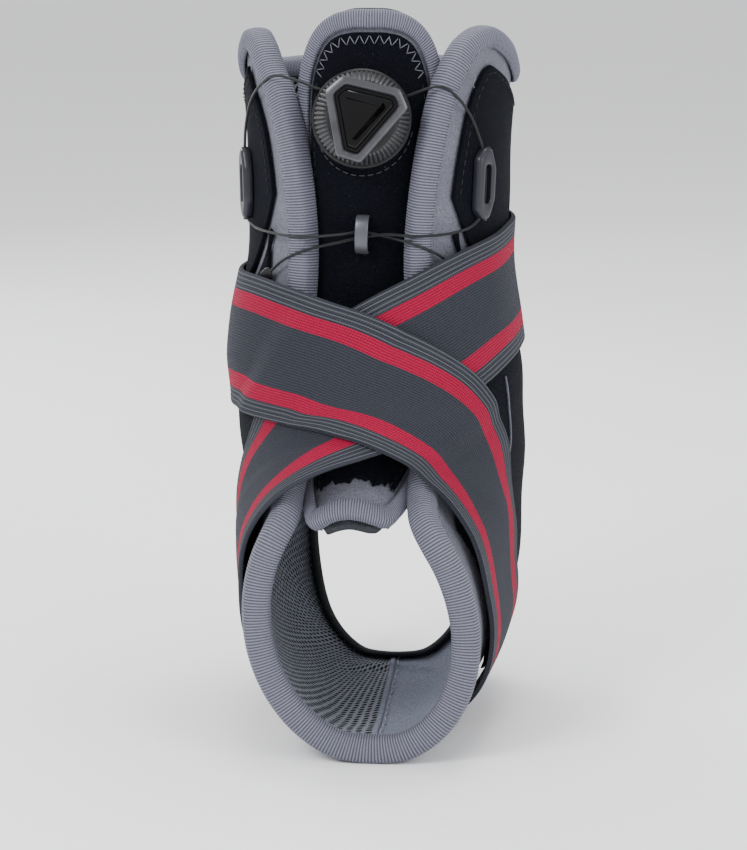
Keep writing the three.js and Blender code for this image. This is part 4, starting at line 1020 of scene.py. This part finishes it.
def make_tongue():
    under = between(*tongue_sides(-PAD_OVERHANG), shares(44))
    low = under[..., 0].max()
    corner = np.minimum(from_front(under[..., 1]) / 30, 1)**4
    under[..., 0] -= corner * smooth(low - 1.8, low - 0.5, under[..., 0])
    pad = slab("tongue_pad", under, PAD_OUT, PAD_IN, edge_round=1.8)
    cover(wear(pad, PAD_CLOTH), "tongue_pad", slot="pad_fabric")
    body = slab("tongue_cover", between(*tongue_sides(0), shares(44)), COVER_OUT, COVER_IN, edge_round=0.6)
    cover(wear(body, FABRIC), "tongue_cover", slot="shell_fabric")
    inset = TONGUE_BINDING_LEG + TONGUE_MARGIN
    grid = between(*tongue_sides(inset, end=TONGUE_PANEL_END), shares(60))
    t = np.linspace(0, 1, 60)[None, :]
    ragged = 0.10 * np.sin(23 * t + 0.6) + 0.07 * np.sin(57 * t + 2.1) + 0.05 * np.sin(97 * t) - 0.12
    grid[..., 0] += ragged * smooth(7.2, TONGUE_PANEL_END, grid[..., 0])
    panel = slab("tongue_panel", grid, TONGUE_OUT, TONGUE_SKIN_IN, edge_round=1.0)
    cover(wear(panel, VELOUR), "tongue_panel", slot="loop_fabric")
    return pad, body, panel


def tongue_loop():
    """The tongue's closed edge."""
    right, left = side_points(TONGUE_EDGE, 1), side_points(TONGUE_EDGE, -1)
    return [(right[0][0], 0.0)] + right + [(right[-1][0], 0.0)] + left[::-1]


TONGUE_PAD, TONGUE_COVER, TONGUE_PANEL = make_tongue()
TONGUE_LEVELS = (TONGUE_OUT, TONGUE_SKIN_IN, TONGUE_BINDING_INSIDE, TONGUE_BINDING_BOTTOM)
make_binding(
    "tongue_binding", tongue_loop(), lambda n, s: tongue_middle(s), TONGUE_BINDING_LEG - TONGUE_ROLLED_BACK,
    TONGUE_LEVELS, RIB_PITCH, RIBBED, "ribbed_binding", rib=0.13, crown=0.55, fold=1.6)


# Straps

def strap_base(phi):
    """Height of a strap above the form, higher in front, where it passes over the laces."""
    return STRAP_SIDE + (STRAP_FRONT - STRAP_SIDE) * (1 - smooth(LACE_ROOM_FULL, LACE_ROOM_END, from_front(phi)))


UNDER_LINE = form(*side_spots(STRAP_UNDER, 70).T)


def distance_to_under(p):
    """Distance of points from the middle line of the strap below."""
    least = np.full(p.shape[:-1], np.inf)
    for a, b in zip(UNDER_LINE[:-1], UNDER_LINE[1:]):
        t = np.clip(((p - a) @ (b - a)) / np.dot(b - a, b - a), 0, 1)
        least = np.minimum(least, np.linalg.norm(p - a - t[..., None] * (b - a), axis=-1))
    return least


def over_height(grid):
    """Height of the upper strap, raised where it crosses the other."""
    away = distance_to_under(form(grid[..., 0], grid[..., 1]))
    base = strap_base(grid[..., 1])
    edge = STRAP_WIDTH / 2 + STRAP_CLEAR
    return base + (STRAP_CROSSING - base) * (1 - smooth(edge, edge + STRAP_RAMP, away))


def make_strap(name, points, height_of):
    spots = side_spots(points, 300)
    across = sideways(spots, False)
    half = np.full(len(spots), STRAP_WIDTH / 2)
    grid = between(walk(spots, across, half), walk(spots, across, -half), shares(60, 4))
    low = height_of(grid)
    p = form(spots[:, 0], spots[:, 1])
    length = np.linalg.norm(np.diff(p, axis=0), axis=1).sum()
    thing = slab(name, grid, low + STRAP_WALL, low, edge_round=0.9, width=STRAP_WIDTH)
    return cover(wear(thing, STRAP), name, slot="strap_elastic"), length


STRAP_LOW, under_length = make_strap("strap_under", STRAP_UNDER, lambda g: strap_base(g[..., 1]))
STRAP_HIGH, over_length = make_strap("strap_over", STRAP_OVER, over_height)


# Lace dial, in its own frame: x to the right, y up the leg, z out along its axis

def dial_frame():
    up_tilt, side_tilt = math.radians(DIAL_TILT_UP), math.radians(DIAL_TILT_RIGHT)
    level = math.cos(up_tilt)
    axis = np.array([math.sin(side_tilt) * level, -math.cos(side_tilt) * level, math.sin(up_tilt)])
    foot = place(np.array([DIAL_SEAT]), np.array([TONGUE_OUT + LAYER_GAP]))[0]
    up = unit(np.array([0, 0, 1.0]) - axis * axis[2])
    return foot, np.cross(up, axis), up, axis


DIAL = dial_frame()


def in_dial(points):
    foot, right, up, axis = DIAL
    p = np.asarray(points, float)
    return foot + p[..., :1] * right + p[..., 1:2] * up + p[..., 2:] * axis


def ring_points(radius, height, count):
    a = np.arange(count) * 2 * math.pi / count
    return np.stack([radius * np.cos(a), radius * np.sin(a), np.full(count, height)], -1)


def loft(name, loops, closed=False, **kw):
    """A solid through loops of equally many points, with ends or closed in itself."""
    count, n = len(loops[0]), len(loops)
    faces = []
    for k in range(n if closed else n - 1):
        a, b = k * count, ((k + 1) % n) * count
        faces += [(a + i, a + (i + 1) % count, b + (i + 1) % count, b + i) for i in range(count)]
    if not closed:
        faces.append(tuple(range(count))[::-1])
        faces.append(tuple((n - 1) * count + i for i in range(count)))
    return outward(new_piece(name, np.concatenate(loops), faces, **kw))


def sharpen(thing, angle=32):
    """Smooth shading that breaks at edges steeper than an angle."""
    thing.data.set_sharp_from_angle(angle=math.radians(angle))
    return thing


RING_FOOT = DIAL_FLANGE_HEIGHT + DIAL_CLEARANCE
RING_TOP = RING_FOOT + DIAL_RING_HEIGHT
BEZEL_FOOT = RING_TOP + DIAL_CLEARANCE
BEZEL_TOP = BEZEL_FOOT + BEZEL_HEIGHT
# Cut corners of the bezel: direction in degrees, distance from the axis, half the cut's width
CORNERS = [(130, 12.9, 3.6), (252, 13.4, 3.7), (383, 13.6, 3.0)]


def round_dial(angles, radius):
    """Spots on the tongue at a distance round the dial's seat."""
    _, right, up, _ = DIAL
    ways = np.cos(angles)[:, None] * right + np.sin(angles)[:, None] * up
    return walk(np.repeat(np.array([DIAL_SEAT]), len(angles), 0), ways, np.full(len(angles), radius))


def make_dial_base():
    a = np.arange(FLANGE_SIDES) * 2 * math.pi / FLANGE_SIDES
    seated = np.full(FLANGE_SIDES, TONGUE_OUT + LAYER_GAP)
    under = [place(round_dial(a, radius), seated) for radius in (3, 8, 12, 14.9)]
    tops = [(DIAL_FLANGE_RADIUS, 1.3), (DIAL_FLANGE_RADIUS, 2.5), (14.8, 3.05), (14.4, 3.35),
            (13.6, DIAL_FLANGE_HEIGHT), (4.0, DIAL_FLANGE_HEIGHT)]
    thing = loft("dial_base", under + [in_dial(ring_points(r, h, FLANGE_SIDES)) for r, h in tops])
    return cover(wear(sharpen(thing), BLACK_PLASTIC), "dial_base", slot="black_plastic")


def make_dial_ring():
    levels = [(12.6, RING_FOOT), (13.45, RING_FOOT), (13.6, 4.0), (13.6, 6.1), (13.2, 6.7), (11.2, 9.5),
              (10.8, 9.9), (10.2, RING_TOP), (4, RING_TOP)]
    core = loft("dial_ring", [in_dial(ring_points(r, h, RING_SIDES)) for r, h in levels], body="dial_knob")
    cover(wear(sharpen(core), BLACK_PLASTIC), "dial_ring", slot="black_plastic")
    crest = [(13.75, 3.8), (14.15, 4.15), (14.2, 6.0), (13.95, 6.55), (11.75, 9.65), (11.1, 10.08)]
    verts, faces = [], []
    for r, h in crest:
        verts += [(r - 1.3, -0.42, h - 0.25), (r - 0.15, -0.36, h), (r, 0, h + 0.03),
                  (r - 0.15, 0.36, h), (r - 1.3, 0.42, h - 0.25)]
    for k in range(len(crest) - 1):
        faces += [(5 * k + i, 5 * k + (i + 1) % 5, 5 * k + 5 + (i + 1) % 5, 5 * k + 5 + i) for i in range(5)]
    faces += [(4, 3, 2, 1, 0), tuple(5 * (len(crest) - 1) + i for i in range(5))]
    fin = template("fin_template", verts, faces)
    fins = add_object("dial_fins", bpy.data.meshes.new("dial_fins"))
    # The fins take the lighter copy of the black plastic, a painted highlight.
    grow(fins, ROUND_TREE, template=fin, count=FIN_COUNT, material=FIN_PLASTIC_PAINTED_LIT)
    foot, right, up, axis = DIAL
    matrix = Matrix([[*(right[i], up[i], axis[i]), foot[i] * MM] for i in range(3)] + [[0, 0, 0, 1]])
    fins.data.transform(matrix)
    PIECES.append((shade(outward(fins), soft=False), "dial_knob"))
    cover(fins, slot="black_plastic")
    return fin


def triangle(inset, height, corner, steps=4):
    """The dial's three-cornered outline with cut corners, moved inwards and with each corner rounded."""
    poly = []
    for degrees, radius, half in CORNERS:
        a = math.radians(degrees)
        c, side = np.array([math.cos(a), math.sin(a)]), np.array([-math.sin(a), math.cos(a)])
        poly += [c * radius - side * half, c * radius + side * half]
    n = len(poly)
    lines = []
    for i in range(n):
        p, q = poly[i], poly[(i + 1) % n]
        d = (q - p) / np.linalg.norm(q - p)
        lines.append((p + np.array([-d[1], d[0]]) * inset, d))
    points = []
    for i in range(n):
        (p, d), (q, e) = lines[i - 1], lines[i]
        t = ((q - p)[0] * e[1] - (q - p)[1] * e[0]) / (d[0] * e[1] - d[1] * e[0])
        tip = p + d * t
        a, b = tip - d * corner, tip + e * corner
        for s in np.linspace(0, 1, steps):
            points.append((1 - s)**2 * a + 2 * s * (1 - s) * tip + s * s * b)
    return in_dial(np.column_stack([np.array(points), np.full(len(points), height)]))


def make_bezel():
    outline = [(0.15, BEZEL_FOOT), (0, BEZEL_FOOT + 0.2), (0, BEZEL_TOP - 0.7), (0.25, BEZEL_TOP - 0.22),
               (0.7, BEZEL_TOP), (1.75, BEZEL_TOP), (1.95, BEZEL_TOP - 0.15), (2.5, BEZEL_TOP - 0.7),
               (2.5, BEZEL_FOOT)]
    loops = [triangle(d, h, 0.9 if d < 2 else 0.6) for d, h in outline]
    thing = loft("dial_bezel", loops, closed=True, body="dial_knob")
    cover(wear(sharpen(thing, 25), GUN_METAL), "dial_bezel", slot="gun_metal")
    levels = [(2.65, BEZEL_FOOT), (2.65, BEZEL_TOP - 0.75), (2.8, BEZEL_TOP - 0.6), (3.5, BEZEL_TOP - 0.55),
              (3.95, BEZEL_TOP + 0.05), (4.25, BEZEL_TOP + 0.28), (5.2, BEZEL_TOP + 0.5), (6.2, BEZEL_TOP + 0.6)]
    gem = loft("dial_insert", [triangle(d, h, 0.45) for d, h in levels], body="dial_knob")
    cover(wear(sharpen(gem, 12), GLOSS_BLACK), "dial_insert", slot="gloss_black")


make_dial_base()
FIN = make_dial_ring()
make_bezel()


# Laces, guides and keeper

def centripetal(points, samples=24):
    """A smooth path through points in space, without loops where they lie close."""
    p = np.array(points, float)
    p = np.vstack([2 * p[0] - p[1], p, 2 * p[-1] - p[-2]])
    out = []
    for i in range(1, len(p) - 2):
        x0, x1, x2, x3 = p[i - 1:i + 3]
        t0, t1, t2 = [max(np.linalg.norm(b - a)**0.5, 1e-4) for a, b in ((x0, x1), (x1, x2), (x2, x3))]
        m1 = ((x1 - x0) / t0 - (x2 - x0) / (t0 + t1) + (x2 - x1) / t1) * t1
        m2 = ((x2 - x1) / t1 - (x3 - x1) / (t1 + t2) + (x3 - x2) / t2) * t1
        squared, cubed = -3 * x1 + 3 * x2 - 2 * m1 - m2, 2 * x1 - 2 * x2 + m1 + m2
        for s in np.arange(samples) / samples:
            out.append(x1 + m1 * s + squared * s**2 + cubed * s**3)
    return np.array(out + [p[-2]])


def lace_points(rows, exit_angle):
    """Points of a lace from the dial's flange to its end."""
    exit_ = round_dial(np.radians([exit_angle]), DIAL_FLANGE_RADIUS + LAYER_GAP)
    start = place(exit_, np.array([TONGUE_OUT + LACE_EXIT_RISE]))
    table = np.array(rows)
    height = BINDING_OUT + (TONGUE_OUT - BINDING_OUT) * table[:, 2] + table[:, 3] * LACE_DIAMETER
    return np.vstack([start, place(table[:, :2], height)])


def spaced(path, step):
    """The path at an even step, and each point's length along it."""
    s = np.concatenate([[0], np.cumsum(np.linalg.norm(np.diff(path, axis=0), axis=1))])
    at = np.linspace(0, s[-1], max(int(s[-1] / step), 4))
    return np.stack([np.interp(at, s, path[:, k]) for k in range(3)], -1), at


def tube(name, path, radius, material, sides=12, step=0.7, flat=1.0, out=None):
    """A round or flattened thread along a path; flat is its height as a share of its width."""
    p, at = spaced(path, step)
    tangent = unit(np.gradient(p, axis=0))
    side = np.cross(tangent[0], [0.3, 0.2, 1.0]) if out is None else np.cross(tangent[0], out)
    rings, uv = [], []
    for k in range(len(p)):
        side = unit(side - tangent[k] * np.dot(side, tangent[k]))
        lift = np.cross(side, tangent[k])
        a = np.arange(sides) * 2 * math.pi / sides
        grow_in = 1.0 if 0 < k < len(p) - 1 else 0.9
        rings.append(p[k] + grow_in * radius * (np.cos(a)[:, None] * side + flat * np.sin(a)[:, None] * lift))
        uv.append(np.stack([np.arange(sides) / sides, np.full(sides, at[k])], -1))
    return wear(loft(name, rings, uv=np.concatenate(uv)), material)


LACE_PATHS = [centripetal(lace_points(rows, angle))
              for rows, angle in ((LACE_LEFT, LACE_EXIT_LEFT), (LACE_RIGHT, LACE_EXIT_RIGHT))]
for name, path in zip(("lace_left", "lace_right"), LACE_PATHS):
    cover(tube(name, path, LACE_DIAMETER / 2 - LACE_SHRINK, LACE), name, slot="steel_lace")


def seat(station, phi, height):
    """Frame of a flat piece on the form: foot, right, up the leg, outwards."""
    spot = np.array([[station, phi]])
    along, _, n = [v[0] for v in slopes(spot[:, 0], spot[:, 1])]
    up = unit(-along + n * np.dot(along, n))
    return place(spot, np.array([height]))[0], np.cross(up, n), up, n


def in_seat(frame_, points):
    foot, right, up, n = frame_
    p = np.asarray(points, float)
    return foot + p[..., :1] * right + p[..., 1:2] * up + p[..., 2:] * n


def loop_at(corners, count, radius):
    """Evenly many points round a polygon with rounded corners."""
    p = np.array(corners, float)
    dense = []
    for i in range(len(p)):
        a, b, c = p[i - 1], p[i], p[(i + 1) % len(p)]
        r = min(radius, np.linalg.norm(a - b) / 2, np.linalg.norm(c - b) / 2)
        u, v = b + unit(a - b) * r, b + unit(c - b) * r
        dense += [(1 - s)**2 * u + 2 * s * (1 - s) * b + s * s * v for s in np.linspace(0, 1, 7)]
    dense = np.array(dense + dense[:1])
    s = np.concatenate([[0], np.cumsum(np.linalg.norm(np.diff(dense, axis=0), axis=1))])
    at = np.linspace(0, s[-1], count + 1)[:-1]
    return np.stack([np.interp(at, s, dense[:, k]) for k in range(2)], -1)


def make_guide(name, phi):
    """A slotted plate with a mouth for the lace at each end."""
    x, y, c = 4.5, 11.0, 3.0
    corners = [(x - c, -y), (x, -y + 2 * c), (x, y - 2 * c), (x - c, y),
               (-x + c, y), (-x, y - c), (-x, -y + c), (-x + c, -y)]
    base = seat(GUIDE_STATION, phi, PANEL_OUT + LAYER_GAP)
    rim = loop_at(corners, 96, 1.2)
    slot = loop_at([(1.7, -6), (1.7, 6), (-1.7, 6), (-1.7, -6)], 96, 1.7)
    shift = int(np.argmin(np.linalg.norm(slot - rim[0] * (0.4, 0.55), axis=1)))
    slot = np.roll(slot, -shift, 0)

    def at(loop, d, h, sign=-1):
        size = np.abs(loop).max(0)
        return in_seat(base, np.column_stack([loop * (1 + sign * d / size), np.full(len(loop), h)]))
    levels = [at(rim, d, h) for d, h in ((0.1, 0), (0, 0.2), (0, 1.7), (0.25, 2.3), (0.8, 2.72), (1.2, 2.8))]
    levels += [at(slot, d, h, 1) for d, h in ((0.55, 2.8), (0.25, 2.7), (0, 2.4), (0, 0))]
    thing = loft(name, levels, closed=True)
    cover(wear(sharpen(thing, 38), GRAY_PLASTIC), name, slot="gray_plastic")
    for end, word in ((-1, "_mouth_down"), (1, "_mouth_up")):
        path = in_seat(base, [(0, end * 9.4, 1.45), (0, end * 11.2, 1.45)])
        cover(tube(name + word, path, 1.05, BLACK_PLASTIC, sides=16, step=0.4), slot="black_plastic")


make_guide("guide_left", GUIDE_LEFT_ANGLE)
make_guide("guide_right", GUIDE_RIGHT_ANGLE)


def make_keeper():
    """A ribbon arched over the laces."""
    base = seat(*KEEPER_SEAT, TONGUE_OUT + LAYER_GAP)
    reach, rise = 5.55, 4.05
    rings = []
    for t in np.linspace(0, 1, 30):
        a = math.pi * t
        y, z = -reach * math.cos(a), 0.4 + rise * math.sin(a)**0.75
        ty, tz = reach * math.sin(a) + 1e-3, rise * 0.75 * max(math.sin(a), 0.05)**-0.25 * math.cos(a)
        n = np.hypot(ty, tz)
        ny, nz = -tz / n, ty / n
        ring = []
        for k in range(16):
            b = 2 * math.pi * k / 16
            cx = 2.0 * np.sign(math.cos(b)) * abs(math.cos(b))**0.45
            cz = 0.42 * np.sign(math.sin(b)) * abs(math.sin(b))**0.6
            ring.append((cx, y + ny * cz, max(z + nz * cz, 0.0)))
        rings.append(in_seat(base, ring))
    return cover(wear(loft("keeper_loop", rings), KEEPER_RIBBON), "keeper_loop", slot="black_plastic")


make_keeper()


# Stitches, seams and threads

def sewn(name, paths, shape, pitch, thread, slot, lean=0.0):
    """A row of stitches along each path."""
    cover(along_paths(name, paths, shape, pitch, thread, lean), slot=slot)


def tongue_arch(right, left):
    """The top of the tongue's stitch line from side to side."""
    rim = np.vstack([right, left])
    rim[:, 1] = (rim[:, 1] + 180) % 360 - 180
    rim = rim[rim[:, 0] < 1.05]
    rim = rim[np.argsort(-rim[:, 1])]
    arch = [rim[0]]
    for spot in rim:
        if arch[-1][1] - spot[1] > 1.2:
            arch.append(spot)
    return side_spots(np.array(arch), 300)


def make_stitches():
    right, left = tongue_sides(TONGUE_BINDING_LEG + TONGUE_MARGIN + 2.3, 200)
    arch = stitch_path(tongue_arch(right, left), TONGUE_OUT + 0.15)
    sewn("tongue_zigzag", [arch], ZIGZAG, 1.45, THREAD, "ribbed_binding", 63)
    line = inset_loop(BINDING_LEG - STITCHED_BACK, 901)[1]
    edge = stitch_path(np.vstack([line, line[:1]]), BINDING_OUT + 0.45)
    sewn("edge_stitches", [edge], STITCH, 3.0, GRAY_THREAD, "ribbed_binding")
    rows = [stitch_path(side[(side[:, 0] > 1.15) & (side[:, 0] < 7.9)], TONGUE_OUT + 0.1) for side in (right, left)]
    sewn("tongue_stitches", rows, STITCH, 2.9, DARK_THREAD, "thin_binding")
    arc = round_dial(np.radians(np.linspace(195, 345, 60)), 17.2)
    sewn("dial_stitches", [stitch_path(arc, TONGUE_OUT + 0.12)], STITCH, 2.6, GRAY_THREAD, "thin_binding")
    top = inset_edge(PANEL_STITCH_INSET, lambda s, t: s[:, 0] < 2.3)
    sewn("panel_stitches", [stitch_path(top, PANEL_OUT + 0.2)], STITCH, 2.9, DARK_THREAD, "thin_binding")


def make_seam():
    """The raised seam along the middle of the sole, inside, and the stitches beside it."""
    w = np.linspace(7.8, 9.95, 60)
    middle = np.stack([w, np.full(60, 180.0)], -1)
    ridge = place(middle, np.full(60, -0.1))
    thing = tube("sole_seam", ridge, 0.95, BRUSHED, sides=14, step=0.8, flat=0.75, out=np.array([0, 0, 1.0]))
    cover(thing, slot="thin_binding")
    beside = walk(middle, np.repeat([[1.0, 0, 0]], 60, 0), np.full(60, 1.9))
    points, out = stitch_path(beside, -0.45)
    sewn("sole_stitches", [(points, -out)], LONG_STITCH, 5.6, PALE_THREAD, "mesh_lining", 8)


def make_threads():
    """A loose end of thread on the right wing, and the edge of the pocket on the right side."""
    spots = np.array([[0.86, 47], [0.93, 46], [1.0, 46.5], [1.06, 45.5], [1.1, 46]])
    path = centripetal(place(spots, np.array([5.6, 6.0, 6.3, 6.1, 6.4])), 8)
    cover(tube("thread_tail", path, 0.16, THREAD, sides=6, step=0.5), slot="ribbed_binding")
    line = np.array([[4.75, 62], [5.1, 65], [5.5, 67], [5.9, 67.5], [6.3, 66], [6.7, 63]])
    points = place(side_spots(line.tolist(), 40), np.full(40, PANEL_OUT + 0.35))
    cover(tube("pocket_edge", points, 0.55, FABRIC, sides=10, step=0.7, flat=0.6), slot="shell_fabric")


make_stitches()
make_seam()
make_threads()


def make_anchor(name, path):
    """A flat tab under the strap, where a lace ends."""
    end, before = path[-1], path[-6]
    ahead = unit(end - before)
    out_ = unit(np.array([end[0], end[1], 0.0]))
    side = unit(np.cross(ahead, out_))
    lift = np.cross(side, ahead)
    middle = end + ahead * 3.0
    rings = []
    a = np.arange(12) * math.pi / 6
    for x, w in ((-2.9, 0.4), (-2.6, 1.3), (-1.2, 1.9), (1.4, 1.9), (2.6, 1.5), (2.9, 0.6)):
        edge = np.cos(a)[:, None] * side * w + np.sin(a)[:, None] * lift * min(0.35, w)
        rings.append(middle + ahead * x + edge)
    cover(wear(loft(name, rings), BLACK_PLASTIC), name, slot="black_plastic")


make_anchor("lace_anchor_right", LACE_PATHS[0])
make_anchor("lace_anchor_left", LACE_PATHS[1])


def make_floor():
    half, below = 3, -0.0003
    mesh = bpy.data.meshes.new("floor")
    corners = [(x * half, y * half, below) for x, y in ((-1, -1), (1, -1), (1, 1), (-1, 1))]
    mesh.from_pydata(corners, [], [(0, 1, 2, 3)])
    floor = add_object("floor", mesh)
    wear(floor, plain_finish("floor_paper", (0.95, 0.955, 0.965), 0.75, grain=0.004, scale=0.05, bump=0.0))


make_floor()

for thing in (STITCH, ZIGZAG, LONG_STITCH, FIN):
    mesh = thing.data
    bpy.data.objects.remove(thing)
    bpy.data.meshes.remove(mesh)

for thing, body in PIECES:
    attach(thing, body)
    nodes, slot_name = COVERED.get(thing, ((), None))
    if nodes:
        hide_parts(*nodes)
